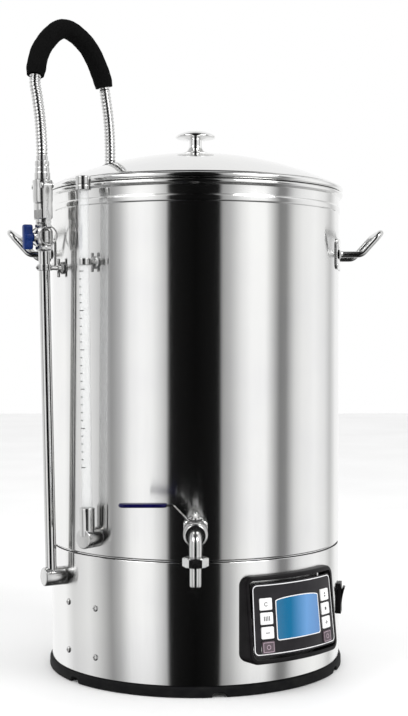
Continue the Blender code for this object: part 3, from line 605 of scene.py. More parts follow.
RISER = leaning(RISER_BEARING, RISER_R, RISER_LEAN_Z, RISER_LEAN)
GAUGE = leaning(GAUGE_BEARING, GAUGE_R, GAUGE_LEAN_Z, GAUGE_LEAN)


def make_camera():
    """A level view from the tap's side, a little under the lid's height."""
    data = bpy.data.cameras.new("camera")
    data.lens = 65.9
    data.sensor_width = 36.0
    camera = bpy.data.objects.new("camera", data)
    camera.location = (0.0, -1.84, 0.452)
    camera.rotation_euler = (math.radians(90 - 0.875), 0, math.radians(-0.372))
    bpy.context.scene.collection.objects.link(camera)
    bpy.context.scene.camera = camera


# The studio that the steel mirrors: bearings from the camera's side, and how bright a wall there looks.
STUDIO = [
    (-180, 0.86), (-126, 0.94), (-112, 0.82), (-92, 0.88), (-80, 0.76), (-69, 0.56), (-61, 0.70),
    (-52, 0.92),
    (-43, 0.965), (-34, 0.94), (-27, 0.82), (-22.5, 0.70), (-20.5, 0.14), (-16, 0.08), (0, 0.045),
    (15, 0.08),
    (18.8, 0.11), (20.6, 0.60), (27, 0.70), (36, 0.88), (44, 0.955), (56, 0.955), (62, 0.78), (69, 0.48),
    (75, 0.50),
    (84, 0.82), (92, 0.90), (108, 0.94), (123, 0.88), (134, 0.74), (148, 0.90), (180, 0.86),
]
STEEL_SHADE = 0.72


def linear(shown):
    return ((shown + 0.055) / 1.055) ** 2.4


def make_world():
    world = bpy.data.worlds.new("studio")
    bpy.context.scene.world = world
    world.use_nodes = True
    tree = world.node_tree
    tree.nodes.clear()
    place = node(world, "ShaderNodeTexCoord")
    apart = node(world, "ShaderNodeSeparateXYZ")
    link(world, place.outputs["Generated"], apart.inputs["Vector"])
    back = node(world, "ShaderNodeMath", operation="MULTIPLY")
    back.inputs[1].default_value = -1.0
    link(world, apart.outputs["Y"], back.inputs[0])
    bearing = node(world, "ShaderNodeMath", operation="ARCTAN2")
    link(world, apart.outputs["X"], bearing.inputs[0])
    link(world, back.outputs[0], bearing.inputs[1])
    share = ranged(world, bearing.outputs[0], 0.0, 1.0, -math.pi, math.pi)
    ramp = node(world, "ShaderNodeValToRGB")
    stops = ramp.color_ramp.elements
    while len(stops) > 1:
        stops.remove(stops[-1])
    for number, (angle, shown) in enumerate(STUDIO):
        stop = stops[0] if number == 0 else stops.new((angle + 180) / 360)
        stop.position = (angle + 180) / 360
        value = linear(shown) / STEEL_SHADE
        stop.color = (value, value, value, 1)
    link(world, share, ramp.inputs["Fac"])
    sky = node(world, "ShaderNodeValToRGB")
    link(world, ranged(world, apart.outputs["Z"], 0.0, 1.0, -1.0, 1.0), sky.inputs["Fac"])
    bands = sky.color_ramp.elements
    bands[0].color = (0.05, 0.05, 0.05, 1)
    bands[1].color = (0.10, 0.10, 0.10, 1)
    for height, level in ((-0.85, 0.05), (-0.6, 0.55), (-0.35, 1.0), (0.80, 1.0), (0.90, 0.15)):
        bands.new((height + 1) / 2).color = (level, level, level, 1)
    blend = node(world, "ShaderNodeMix", data_type="RGBA", blend_type="MULTIPLY")
    blend.inputs[0].default_value = 1.0
    link(world, ramp.outputs["Color"], blend.inputs[6])
    link(world, sky.outputs["Color"], blend.inputs[7])
    room = node(world, "ShaderNodeBackground")
    link(world, blend.outputs[2], room.inputs["Color"])
    paper = node(world, "ShaderNodeBackground")
    paper.inputs["Color"].default_value = (1.0, 1.0, 1.0, 1)
    rays = node(world, "ShaderNodeLightPath")
    either = node(world, "ShaderNodeMixShader")
    unseen = node(world, "ShaderNodeMath", operation="ADD", use_clamp=True)
    link(world, rays.outputs["Is Camera Ray"], unseen.inputs[0])
    link(world, rays.outputs["Is Diffuse Ray"], unseen.inputs[1])
    link(world, unseen.outputs[0], either.inputs["Fac"])
    link(world, room.outputs[0], either.inputs[1])
    link(world, paper.outputs[0], either.inputs[2])
    output = node(world, "ShaderNodeOutputWorld")
    link(world, either.outputs[0], output.inputs["Surface"])


def make_lights():
    """Two soft boxes, high on both sides, for the shadow under the kettle."""
    for name, x, power in (("key_light", 1.6, 26.0), ("fill_light", -1.7, 16.0)):
        data = bpy.data.lights.new(name, "AREA")
        data.shape = "DISK"
        data.size = 1.4
        data.energy = power
        light = bpy.data.objects.new(name, data)
        light.location = (x, -1.2, 2.3)
        light.rotation_euler = (Vector((0, 0, 0.3)) - light.location).to_track_quat("-Z", "Y").to_euler()
        bpy.context.scene.collection.objects.link(light)


def make_floor():
    material, shader = principled("floor_paper", (0.90, 0.90, 0.90), 0.7)
    tinted(material, shader, noise(material, 3, 3.0), (0.89, 0.89, 0.89), (0.92, 0.92, 0.92))
    size = 6.0
    floor = solid("floor", [(-size, -size, 0), (size, -size, 0), (size, size, 0), (-size, size, 0)],
                  [[0, 1, 2, 3]])
    floor.data.materials.append(material)
    floor.visible_glossy = False


# ---------------------------------------------------------------- the hose, its sleeve and its adapter

def hose_route(spacing):
    """The CAD's own route: up from the coupler, over and straight down through the lid."""
    return smooth_route(
        [RISER @ Vector((0, 0, 0.6860)), RISER @ Vector((0, 0, 0.7060)), (-0.2052, -0.1040, 0.7410),
         (-0.2092, -0.1005, 0.7700), (-0.2125, -0.0960, 0.7970), (-0.2048, -0.0840, 0.8390),
         (-0.1794, -0.0600, 0.8700), (-0.1500, -0.0350, 0.8540), (-0.1310, -0.0160, 0.8160),
         (-0.1240, -0.0110, 0.7790), (-0.1203, TAIL_Y, 0.7460), (TAIL_X, TAIL_Y, 0.7150),
         (TAIL_X, TAIL_Y, 0.6900),
         (TAIL_X, TAIL_Y, 0.6550), (TAIL_X, TAIL_Y, 0.6200)],
        spacing)


def make_hose():
    pitch, per_turn = 0.0048, 6
    route = hose_route(pitch / per_turn)
    groove = 0.00105
    radii = [HOSE_R - groove * (0.5 - 0.5 * math.cos(math.tau * i / per_turn)) for i in range(len(route))]
    plain = 8
    radii[:plain] = [HOSE_R] * plain
    radii[-plain:] = [HOSE_R] * plain
    hose = put(sweep("corrugated_hose", route, radii, 24), MATERIALS["wire"], "hose_assembly",
               "brushed_steel", "hose")
    coarse = hose_route(0.004)
    wrapped = [p for p in coarse if p.z > 0.7975]
    sleeve = foam_sleeve(wrapped)


def foam_sleeve(route):
    """A thick tube over the hose's bend, a little uneven, with rounded ends."""
    outer, inner = 0.0133, 0.0088
    count = len(route)
    swell = []
    for i in range(count):
        near = min(i, count - 1 - i)
        end = 0.0015 * max(0, 2 - near) / 2
        swell.append(outer - end - 0.00025 * (1 + math.sin(i * 1.7) * math.sin(i * 0.61)))
    tube = sweep("foam_sleeve", route, swell, 40)
    bore = sweep("sleeve_bore", [route[0] * 2 - route[1]] + route + [route[-1] * 2 - route[-2]], inner, 24)
    carve(tube, bore)
    return put(tube, MATERIALS["foam"], "hose_assembly", "black_foam", "hose_sleeve")


def make_adapter():
    adapter = lathe(
        "hose_ferrule",
        [(0.0086, 0.6852), (0.0093, 0.6848), (0.0096, 0.6800), (0.0090, 0.6785), (0.0090, 0.6765),
         (0.0096, 0.6757),
         (0.0096, 0.6705), (0.0104, 0.6690), (0.0104, 0.6608), (0.0094, 0.6604), (0.0094, 0.655),
         (0.0085, 0.653),
         (0.0085, 0.649), (0.0094, 0.647), (0.0094, 0.6372), (0.0047, 0.6372), (0.0047, 0.6852)],
        RISER, 64, ring=True, soft=0.0005)
    put(adapter, MATERIALS["cast"], "hose_assembly", "cast_steel", "hose_adapter")


# ---------------------------------------------------------------- base, vessel and handles

def make_base():
    ring = lathe(
        "foot_ring_rubber",
        [(0.2000, 0.0138), (0.2022, 0.0128), (0.2033, 0.0105), (0.2034, 0.0006), (0.1912, 0.0003),
         (0.1912, 0.008),
         (0.1960, 0.0138)],
        Matrix(), 288, ring=True, soft=0.0012)
    for i in range(6):
        outline = soften([(-0.011, -0.001), (0.011, -0.001), (0.0055, 0.0075), (-0.0055, 0.0075)], 0.0012,
                         ring=True)
        place = upright(8.5 + 60 * i, 0.197, 0) @ Matrix.Rotation(math.radians(90), 4, "X")
        carve(ring, slab("notch", [outline], 0.03, place))
    put(ring, MATERIALS["rubber"], "kettle", "black_rubber", "foot_ring")
    low = 0.0144
    skirt = lathe(
        "skirt_shell",
        [(0.1987, SEAM_Z - 0.0004), (0.1993, SEAM_Z - 0.0001), (0.1999, SEAM_Z - 0.0008),
         (WALL_R, SEAM_Z - 0.0022),
         (WALL_R, low), (0.1987, low)],
        Matrix(), 288, ring=True, soft=0.0004)
    put(skirt, MATERIALS["wall"], "kettle", "brushed_steel", "base_skirt")
    plate = frame["nodes"]["base_plate"]
    plate.data.materials.clear()
    plate.data.materials.append(MATERIALS["housing"])
    for bearing in (-57.0, -40.3):
        for z in (0.103, 0.0395):
            make_screw("skirt_screw_%d_%d" % (abs(bearing), z * 1000), outward(bearing, z), WALL_R + 0.0001)


def make_screw(name, place, seat, size=0.0043, body="kettle"):
    """A pan head screw with a cross recess, on a seat that far out along Z."""
    head = lathe(name, [(0, seat + 0.0024), (size * 0.45, seat + 0.0023), (size * 0.8, seat + 0.0017),
                        (size, seat + 0.0004),
                        (size, seat - 0.0004), (0, seat - 0.0004)], place, 32, soft=0.0003)
    half, thin = size * 0.55, size * 0.14
    cross = [(half, -thin), (half, thin), (thin, thin), (thin, half), (-thin, half), (-thin, thin),
             (-half, thin),
             (-half, -thin), (-thin, -thin), (-thin, -half), (thin, -half), (thin, -thin)]
    recess = slab("recess", [cross], 0.003, place @ Matrix.Translation((0, 0, seat + 0.0028)))
    carve(head, recess)
    return put(head, MATERIALS["wire"], body, "brushed_steel")


def make_vessel():
    inner = WALL_R - 0.0012
    bead = [(WALL_R, 0.6329), (WALL_R + 0.0007, 0.6322), (WALL_R + 0.0014, 0.6308),
            (WALL_R + 0.0016, 0.6282),
            (WALL_R + 0.0014, 0.6254), (WALL_R + 0.0007, 0.6241), (WALL_R, 0.6234)]
    roll = [(inner + 0.0003, 0.6508), (inner + 0.0022, 0.6518)]
    roll += [(RIM_R - 0.0033 + x, 0.6486 + y) for x, y in arc(0, 0, 0.0032, 80, -85, 10)]
    roll += [(WALL_R + 0.0004, 0.6448), (WALL_R, 0.6438)]
    foot = [(WALL_R, SEAM_Z + 0.0036), (WALL_R - 0.0006, SEAM_Z + 0.0027),
            (WALL_R - 0.0022, SEAM_Z + 0.0021),
            (WALL_R - 0.0022, SEAM_Z + 0.0004),
            (0.180, SEAM_Z + 0.0004), (0.180, FLOOR_Z + 0.0003), (0, FLOOR_Z + 0.0003)]
    floor = [(0, FLOOR_Z + 0.0015), (0.120, FLOOR_Z + 0.0015), (inner - 0.012, FLOOR_Z + 0.0017),
             (inner - 0.004, 0.1955),
             (inner, 0.2035)]
    vessel = lathe("vessel_shell", floor + roll + bead + foot, Matrix(), 288, soft=0.0006)
    put(vessel, MATERIALS["wall"], "kettle", "brushed_steel", "kettle_vessel")
    ripples = 300
    low, high = 0.1750, 0.6225
    line = [(0, WALL_R - 0.0004, low + (high - low) * i / ripples) for i in range(ripples + 1)]
    radii = [0.00085 + 0.00007 * (i % 2) for i in range(ripples + 1)]
    put(sweep("vessel_weld", line, radii, 10), MATERIALS["wire"], "kettle", "brushed_steel")


def make_handle(name, side, node_name):
    bearing = 90 * side
    plate = slab(name + "_plate", [rounded(0.1316, 0.0425, 0.0085, cy=0.5665, runs=8)], 0.0019, soft=0.0007)
    wrap(plate, bearing, lambda z: WALL_R + 0.0012, 0.006)
    put(plate, MATERIALS["wall"], "kettle", "brushed_steel", node_name)
    half, z = 0.050, 0.566
    corners = [(half, -0.1962, z), (half, -0.227, z), (half, -0.254, 0.596)]
    route = filleted(corners + [(-x, y, h) for x, y, h in reversed(corners)], 0.012)
    flared = []
    for end, on in ((route[0], route[1]), (route[-1], route[-2])):
        way = (on - end).normalized()
        flared.append([end + way * d for d in (0.0, 0.0008, 0.0018, 0.0030, 0.0050)])
    route = flared[0] + route[1:-1] + list(reversed(flared[1]))
    weld = [0.0066, 0.0060, 0.0051, 0.0045, 0.0042]
    radii = weld + [0.00425] * (len(route) - 10) + list(reversed(weld))
    put(sweep(name + "_bar", route, radii, 24, place=turn_z(bearing)), MATERIALS["wire"], "kettle",
        "brushed_steel")
    for i, (x, h) in enumerate(((-0.060, 0.5505), (0.060, 0.5505), (-0.060, 0.5825), (0.060, 0.5825),
                                (0, 0.5665))):
        place = outward(bearing + math.degrees(x / WALL_R), h)
        spot = lathe("%s_rivet_%d" % (name, i + 1), [(0, WALL_R + 0.0032), (0.0016, WALL_R + 0.0031),
                     (0.0026, WALL_R + 0.0026), (0.0029, WALL_R + 0.0021), (0.0029, WALL_R + 0.0012),
                     (0, WALL_R + 0.0012)],
                     place, 24, soft=0.0002)
        put(spot, MATERIALS["wire"], "kettle", "brushed_steel")


# ---------------------------------------------------------------- lid

def dome_arc(radius, centre_z, start_r, stop_r, steps):
    """A dome's profile from one distance from the axis to another."""
    first, last = math.asin(start_r / radius), math.asin(stop_r / radius)
    angles = [first + (last - first) * i / steps for i in range(steps + 1)]
    return [(radius * math.sin(a), centre_z + radius * math.cos(a)) for a in angles]


def make_lid():
    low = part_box("lid_rim")[1][2] + 0.0015
    rise = LID_TOP_Z - low
    sphere = (DOME_EDGE_R ** 2 + rise ** 2) / (2 * rise)
    centre = LID_TOP_Z - sphere
    outer = dome_arc(sphere, centre, 0, DOME_EDGE_R - 0.0016, 48)
    under = dome_arc(sphere - 0.0012, centre, 0, DOME_EDGE_R - 0.0018, 48)
    dome = lathe("dome_shell", outer + [(DOME_EDGE_R - 0.0006, low - 0.0004)] + list(reversed(under)),
                 Matrix(), 240,
                 soft=0.0003)
    seat = centre + math.sqrt(sphere ** 2 - TAIL_X ** 2 - TAIL_Y ** 2)
    tilt = math.asin(math.hypot(TAIL_X, TAIL_Y) / sphere)
    heading = math.atan2(TAIL_X, -TAIL_Y)
    lean = (Matrix.Translation((TAIL_X, TAIL_Y, seat)) @ Matrix.Rotation(heading, 4, "Z")
            @ Matrix.Rotation(tilt, 4, "X"))
    carve(dome, lathe("hole", [(0, 0.015), (0.0106, 0.015), (0.0106, -0.015), (0, -0.015)], lean, 48,
                      soft=0))
    put(dome, MATERIALS["lid"], "lid", "polished_steel", "lid_dome")
    grommet = lathe(
        "grommet_ring",
        [(0, 0.0032), (0.0100, 0.0032), (0.0118, 0.0026), (0.0125, 0.0016), (0.0122, 0.0006),
         (0.0103, 0.0004),
         (0.0103, -0.0018), (0.0116, -0.0022), (0.0116, -0.0036), (0, -0.0036)], lean, 48, soft=0.0005)
    bore = lathe("bore", [(0, 0.02), (HOSE_R + 0.0017, 0.02), (HOSE_R + 0.0017, -0.02), (0, -0.02)],
                 Matrix.Translation((TAIL_X, TAIL_Y, seat)), 48, soft=0)
    carve(grommet, bore)
    put(grommet, MATERIALS["rubber"], "lid", "black_rubber", "hose_grommet")
    rim_low, rim_high = 0.6525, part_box("lid_rim")[1][2]
    middle = (rim_low + rim_high) / 2
    roll = [(RIM_R - 0.0040 + x, middle + y) for x, y in arc(0, 0, 0.0038, 85, -85, 12)]
    rim = lathe("lid_roll", [(0.1957, rim_high + 0.0004), (0.1985, rim_high + 0.0002)] + roll
                + [(0.1966, rim_low), (0.1966, 0.6402), (0.1957, 0.6402)], Matrix(), 288, ring=True,
                soft=0.0004)
    put(rim, MATERIALS["lid"], "lid", "polished_steel", "lid_rim")
    knob = lathe(
        "knob_turned",
        [(0, 0.7410), (0.0080, 0.7407), (0.0150, 0.7396), (0.0215, 0.7375), (0.0262, 0.7350),
         (0.0279, 0.7333),
         (0.0278, 0.7319), (0.0262, 0.7310), (0.0200, 0.7303), (0.0120, 0.7294), (0.0090, 0.7282),
         (0.0088, 0.7205),
         (0.0098, 0.7170), (0.0125, 0.7135), (0.0160, 0.7112), (0.0168, 0.7095), (0.0240, 0.7091),
         (0.0258, 0.7086),
         (0.0258, 0.7074), (0, 0.7074)],
        Matrix(), 96, soft=0.0006)
    put(knob, MATERIALS["lid"], "lid", "polished_steel", "lid_knob")


# ---------------------------------------------------------------- tap

def make_tap():
    place = outward(0, TAP_Z)
    body = lathe(
        "tap_casting",
        [(0.0125, 0.2123), (0.006, 0.2123), (0.006, 0.236), (0.0088, 0.238), (0.0092, 0.245),
         (0.0088, 0.252),
         (0.006, 0.254), (0.006, 0.262), (0.0126, 0.262), (0.0138, 0.2608), (0.0138, 0.2560),
         (0.0144, 0.2550),
         (0.0150, 0.2520), (0.0150, 0.2380), (0.0142, 0.2330), (0.0128, 0.2290), (0.0125, 0.2265)],
        place, 64, ring=True, soft=0.0006)
    boss = lathe("boss", [(0, 0.0149), (0.0072, 0.0149), (0.0072, 0.0105), (0, 0.0105)],
                 Matrix.Translation((0, STEM_Y, TAP_Z)), 40, soft=0.0004)
    carve(body, boss, "UNION")
    carve(body, lathe("hole", [(0, 0.03), (0.0034, 0.03), (0.0034, 0.0), (0, 0.0)],
                      Matrix.Translation((0, STEM_Y, TAP_Z)), 32, soft=0))
    put(body, MATERIALS["cast"], "kettle", "cast_steel", "tap_body")
    hexagon = hex_nut("tap_wall_nut", 0.0300, 0.0061, 0.0118,
                      outward(0, TAP_Z) @ Matrix.Translation((0, 0, 0.2004)))
    put(hexagon, MATERIALS["cast"], "kettle", "cast_steel")
    route = filleted([(0, -0.2624, TAP_Z), (0, OUTLET_Y, TAP_Z), (0, OUTLET_Y, 0.1840)], 0.0115, steps=12)
    elbow = sweep("tap_bend", route, 0.0073, 40)
    first, last = route[0] + Vector((0, 0.004, 0)), route[-1] - Vector((0, 0, 0.004))
    carve(elbow, sweep("bend_bore", [first] + route + [last], 0.0047, 24))
    put(elbow, MATERIALS["cast"], "kettle", "cast_steel", "tap_elbow")
    nut = hex_nut("tap_nut", 0.0275, 0.0078, 0.0116, Matrix.Translation((0, OUTLET_Y, 0.1779)) @ turn_z(30))
    put(nut, MATERIALS["cast"], "kettle", "cast_steel", "tap_union_nut")
    tail = lathe(
        "tap_spout",
        [(0.0072, 0.1833), (0.0072, 0.1772), (0.0069, 0.1764), (0.0069, 0.1560), (0.0064, 0.1539),
         (0.0047, 0.1539),
         (0.0047, 0.1833)],
        Matrix.Translation((0, OUTLET_Y, 0)), 48, ring=True, soft=0.0004)
    put(tail, MATERIALS["cast"], "kettle", "cast_steel", "tap_hose_tail")
    make_tap_lever()


def make_tap_lever():
    low, high, thick = 0.2287, 0.2472, 0.0016
    place = Matrix.Translation((0, STEM_Y, 0))
    rise = [(v.x, v.z) for v in filleted([(0.0085, 0, low), (-0.0088, 0, low), (-0.0263, 0, high),
                                          (-0.0880, 0, high)],
                                         0.004, steps=5)]
    back = [(v.x, v.z) for v in filleted([(0.0085, 0, low + thick), (-0.0083, 0, low + thick),
                                          (-0.0258, 0, high + thick), (-0.0880, 0, high + thick)], 0.004,
                                          steps=5)]
    strip = slab("tap_lever_strip", [rise + list(reversed(back))], 0.0128,
                 place @ Matrix.Rotation(math.radians(90), 4, "X"), soft=0.0005)
    carve(strip, lathe("hole", [(0, 0.3), (0.0033, 0.3), (0.0033, 0.2), (0, 0.2)], place, 32, soft=0))
    put(strip, MATERIALS["wire"], "tap_handle", "brushed_steel", "tap_lever")
    grip = slab("tap_grip_sleeve", [rounded(0.0600, 0.0170, 0.0078, cx=-0.0640, runs=3)], 0.0047,
                place @ Matrix.Translation((0, 0, 0.2480)), soft=0.0021, segments=5)
    put(grip, MATERIALS["navy"], "tap_handle", "blue_vinyl", "tap_grip")
    stem = lathe(
        "tap_stem_pin",
        [(0, 0.2394), (0.0026, 0.2394), (0.0030, 0.2388), (0.0030, 0.2218), (0, 0.2218)], place, 32,
        soft=0.0002)
    put(stem, MATERIALS["cast"], "tap_handle", "cast_steel", "tap_stem")
    nut = hex_nut("tap_stem_nut", 0.0097, 0.0029, 0.0044, place @ Matrix.Translation((0, 0, 0.2330)))
    put(nut, MATERIALS["wire"], "tap_handle", "cast_steel")
    washer = lathe("tap_stem_washer",
                   [(0.0055, 0.2330), (0.0055, 0.2308), (0.0034, 0.2308), (0.0034, 0.2330)],
                   place, 32, ring=True, soft=0.0002)
    put(washer, MATERIALS["wire"], "tap_handle", "cast_steel")
    carry("tap_ball", "lid")


def carry(node_name, material):
    """A CAD node whose shape is right keeps it and takes a finished material."""
    data = frame["nodes"][node_name].data
    data.materials.clear()
    data.materials.append(MATERIALS[material])
    data.shade_smooth()
    data.set_sharp_from_angle(angle=math.radians(38))


# ---------------------------------------------------------------- sight gauge

def make_standoff(name, label, column, axis_r, bearing, z, r, bore):
    """A clip round a pipe on a bolt from the wall, with a flange and a wing nut."""
    clip = lathe(name, [(r - 0.0001, z + 0.0041), (r - 0.0001, z - 0.0041), (bore, z - 0.0041),
                        (bore, z + 0.0041)],
                 column, 48, ring=True, soft=0.0005)
    out, seat = outward(bearing, z), WALL_R + 0.0004
    bolt = lathe("bolt", [(0, axis_r - r + 0.0012), (0.0031, axis_r - r + 0.0012), (0.0031, seat + 0.0079),
                          (0.0050, seat + 0.0078), (0.0052, seat + 0.0068), (0.0052, seat + 0.0034),
                          (0.0068, seat + 0.0030),
                          (0.0084, seat + 0.0020), (0.0084, seat), (0, seat)], out, 40, soft=0.0004)
    carve(clip, bolt, "UNION")
    wings = slab("wings", [rounded(0.0026, 0.0248, 0.0012, runs=2)], 0.0040,
                 out @ Matrix.Translation((0, 0, seat + 0.0056)),
                 soft=0.0006)
    carve(clip, wings, "UNION")
    return put(clip, MATERIALS["cast"], "kettle", "cast_steel", label)


def make_gauge():
    out = outward(GAUGE_BEARING, 0.1955)
    foot = lathe(
        "gauge_elbow",
        [(0, 0.2244), (0.0112, 0.2242), (0.0126, 0.2236), (0.0129, 0.2226), (0.0129, WALL_R + 0.0004),
         (0, WALL_R + 0.0004)], out, 64, soft=0.0004)
    carve(foot, lathe("collar", [(0, 0.2349), (0.0092, 0.2349), (0.0098, 0.2342), (0.0098, 0.1990),
                                 (0, 0.1990)], GAUGE,
                      48, soft=0.0004), "UNION")
    carve(foot, lathe("socket", [(0, 0.25), (GAUGE_TUBE_R + 0.0003, 0.25), (GAUGE_TUBE_R + 0.0003, 0.2121),
                                 (0, 0.2121)],
                      GAUGE, 48, soft=0))
    put(foot, MATERIALS["cast"], "kettle", "cast_steel", "gauge_foot")
    tube = lathe("gauge_glass", [(GAUGE_TUBE_R, 0.6499), (GAUGE_TUBE_R, 0.2125), (0.0055, 0.2125),
                                 (0.0055, 0.6499)],
                 GAUGE, 48, ring=True, soft=0.0003)
    put(tube, MATERIALS["gauge"], "kettle", "clear_tube", "gauge_tube")
    cap = lathe(
        "gauge_top",
        [(0, 0.6579), (0.0086, 0.6578), (0.0097, 0.6570), (0.0099, 0.6556), (0.0099, 0.6475),
         (0.0094, 0.6468),
         (0.0094, 0.6455), (0.0099, 0.6447), (0.0099, 0.6401), (GAUGE_TUBE_R + 0.0003, 0.6401),
         (GAUGE_TUBE_R + 0.0003, 0.6503), (0, 0.6503)],
        GAUGE, 48, soft=0.0004)
    put(cap, MATERIALS["cast"], "kettle", "cast_steel", "gauge_cap")
    clip_z = 0.549
    axis_r = (GAUGE @ Vector((0, 0, clip_z))).xy.length
    make_standoff("gauge_band", "gauge_clip", GAUGE, axis_r, GAUGE_BEARING, clip_z, 0.0088,
                  GAUGE_TUBE_R + 0.0003)
    make_ticks()


def make_ticks():
    """Short marks up the tube's outer side, with every fifth one longer."""
    count, pitch, low = 27, 0.0100, 0.287
    for i in range(count):
        z = low + pitch * i
        start, stop = -22, 34 if i % 5 == 0 else 12
        rings = []
        for k in range(9):
            turn = math.radians(start + (stop - start) * k / 8)
            rings.append([(r * math.sin(turn), -r * math.cos(turn), z + h)
                          for r, h in ((GAUGE_TUBE_R + 0.00004, -0.0005), (GAUGE_TUBE_R + 0.00004, 0.0005),
                                       (GAUGE_TUBE_R + 0.00016, 0.0005),
                                       (GAUGE_TUBE_R + 0.00016, -0.0005))])
        mark = loft("gauge_tick_%02d" % (i + 1), rings, GAUGE, closed=False)
        put(mark, MATERIALS["ink_dark"], "kettle", "clear_tube")


# ---------------------------------------------------------------- riser, valve and coupler

def make_riser():
    foot = lathe(
        "riser_elbow",
        [(0, 0.2286), (0.0108, 0.2284), (0.0121, 0.2278), (0.0124, 0.2268), (0.0124, WALL_R + 0.0004),
         (0, WALL_R + 0.0004)],
        outward(RISER_BEARING, 0.1355), 64, soft=0.0004)
    carve(foot, lathe("socket", [(0, 0.18), (PIPE_R + 0.0003, 0.18), (PIPE_R + 0.0003, 0.1377),
                                 (0, 0.1377)], RISER, 48,
                      soft=0))
    put(foot, MATERIALS["cast"], "kettle", "cast_steel", "riser_foot")
    high = RISER_VALVE_Z - 0.0189
    pipe = lathe("riser_tube", [(PIPE_R, high), (PIPE_R, 0.1381), (0.0063, 0.1381), (0.0063, high)], RISER,
                 64, ring=True,
                 soft=0.0003)
    put(pipe, MATERIALS["tube"], "kettle", "brushed_steel", "riser_pipe")
    clip_z = 0.545
    axis_r = (RISER @ Vector((0, 0, clip_z))).xy.length
    make_standoff("riser_band", "riser_standoff", RISER, axis_r, RISER_BEARING, clip_z, 0.0095,
                  PIPE_R + 0.0003)
    make_screw("riser_band_screw", out_of(RISER, clip_z), 0.0094, size=0.0028)
    z = RISER_VALVE_Z
    body = lathe(
        "riser_valve_casting",
        [(0.0090, z + 0.0180), (0.0100, z + 0.0172), (0.0100, z + 0.0115), (0.0110, z + 0.0105),
         (0.0123, z + 0.0075),
         (0.0123, z - 0.0075), (0.0110, z - 0.0105), (0.0100, z - 0.0115), (0.0100, z - 0.0172),
         (0.0090, z - 0.0180),
         (0.005, z - 0.0180), (0.005, z - 0.007), (0.0085, z - 0.005), (0.0090, z), (0.0085, z + 0.005),
         (0.005, z + 0.007), (0.005, z + 0.0180)], RISER, 48, ring=True, soft=0.0005)
    out = out_of(RISER, z)
    carve(body, lathe("boss", [(0, 0.0156), (0.0056, 0.0156), (0.0064, 0.0148), (0.0064, 0.0100),
                               (0, 0.0100)], out, 32,
                      soft=0.0004), "UNION")
    carve(body, lathe("hole", [(0, 0.03), (0.0030, 0.03), (0.0030, 0.002), (0, 0.002)], out, 24, soft=0))
    put(body, MATERIALS["cast"], "kettle", "cast_steel", "riser_valve_body")
    for i, level in enumerate((z + 0.0117, z - 0.0173)):
        ring = hex_nut("riser_valve_hex_%d" % (i + 1), 0.0205, 0.0095, 0.0056,
                       RISER @ Matrix.Translation((0, 0, level)))
        put(ring, MATERIALS["cast"], "kettle", "cast_steel")
    make_wing(out)
    carry("riser_valve_ball", "lid")


def make_wing(out):
    """The blue handle on its radial stem; out has its Z along the stem, from the riser's axis."""
    hub = lathe("wing_handle", [(0, 0.0284), (0.0045, 0.0283), (0.0062, 0.0275), (0.0067, 0.0260),
                                (0.0067, 0.0163),
                                (0.0026, 0.0163), (0.0026, 0.0086), (0, 0.0086)], out, 40, soft=0.0005)
    blade = slab("blade", [rounded(0.0099, 0.0328, 0.0035, runs=2)], 0.0123,
                 out @ Matrix.Translation((0, 0, 0.0225)),
                 soft=0.0020, segments=4)
    carve(hub, blade, "UNION")
    put(hub, MATERIALS["blue"], "riser_valve", "blue_vinyl", "riser_valve_handle")


def make_coupler():
    low = COUPLER_Z + 0.0001
    cup = lathe(
        "coupler_cup",
        [(0.0124, 0.6600), (0.0131, 0.6594), (0.0131, 0.6560), (0.0126, 0.6545), (0.0126, 0.6500),
         (0.0131, 0.6485),
         (0.0131, 0.6330), (0.0122, 0.6300), (0.0110, 0.6285), (0.0110, 0.6225), (0.0110, 0.6120),
         (0.0104, 0.6105),
         (0.0104, low), (0.005, low), (0.005, 0.6340), (0.0099, 0.6360), (0.0099, 0.6600)],
        RISER, 64, ring=True, soft=0.0005)
    put(cup, MATERIALS["cast"], "kettle", "cast_steel", "cam_coupler")
    hexagon = hex_nut("coupler_hex", 0.0222, 0.0105, 0.0130, RISER @ Matrix.Translation((0, 0, 0.6085)))
    put(hexagon, MATERIALS["cast"], "kettle", "cast_steel")
    for side, word in ((1, "front"), (-1, "rear")):
        for lug in (1, -1):
            outline = [(0.0098, -0.0037), (0.0158, -0.0037)] + arc(0.0158, 0, 0.0037, -80, 80,
                                                                   8) + [(0.0098, 0.0037)]
            ear = slab("coupler_ear_%s_%d" % (word, 1 if lug > 0 else 2),
                       [[(side * x, y) for x, y in outline]], 0.0019,
                       RISER @ Matrix.Translation((0, lug * 0.0074,
                                                   CAM_PIVOT_Z)) @ Matrix.Rotation(math.radians(90), 4,
                                                                                   "X"),
                       soft=0.0004)
            put(ear, MATERIALS["cast"], "kettle", "cast_steel")
        across = Matrix.Translation((side * CAM_OFFSET, 0, CAM_PIVOT_Z)) @ Matrix.Rotation(math.radians(90),
                                                                                           4, "X")
        pin = lathe("coupler_pin_" + word,
                    [(0, 0.0091), (0.0016, 0.0090), (0.0019, 0.0086), (0.0012, 0.0084),
                                            (0.0012, -0.0084), (0.0019, -0.0086), (0.0016, -0.0090),
                                            (0, -0.0091)],
                    RISER @ across, 24, soft=0.0001)
        put(pin, MATERIALS["wire"], "kettle", "cast_steel")
        make_arm(word, RISER @ across)


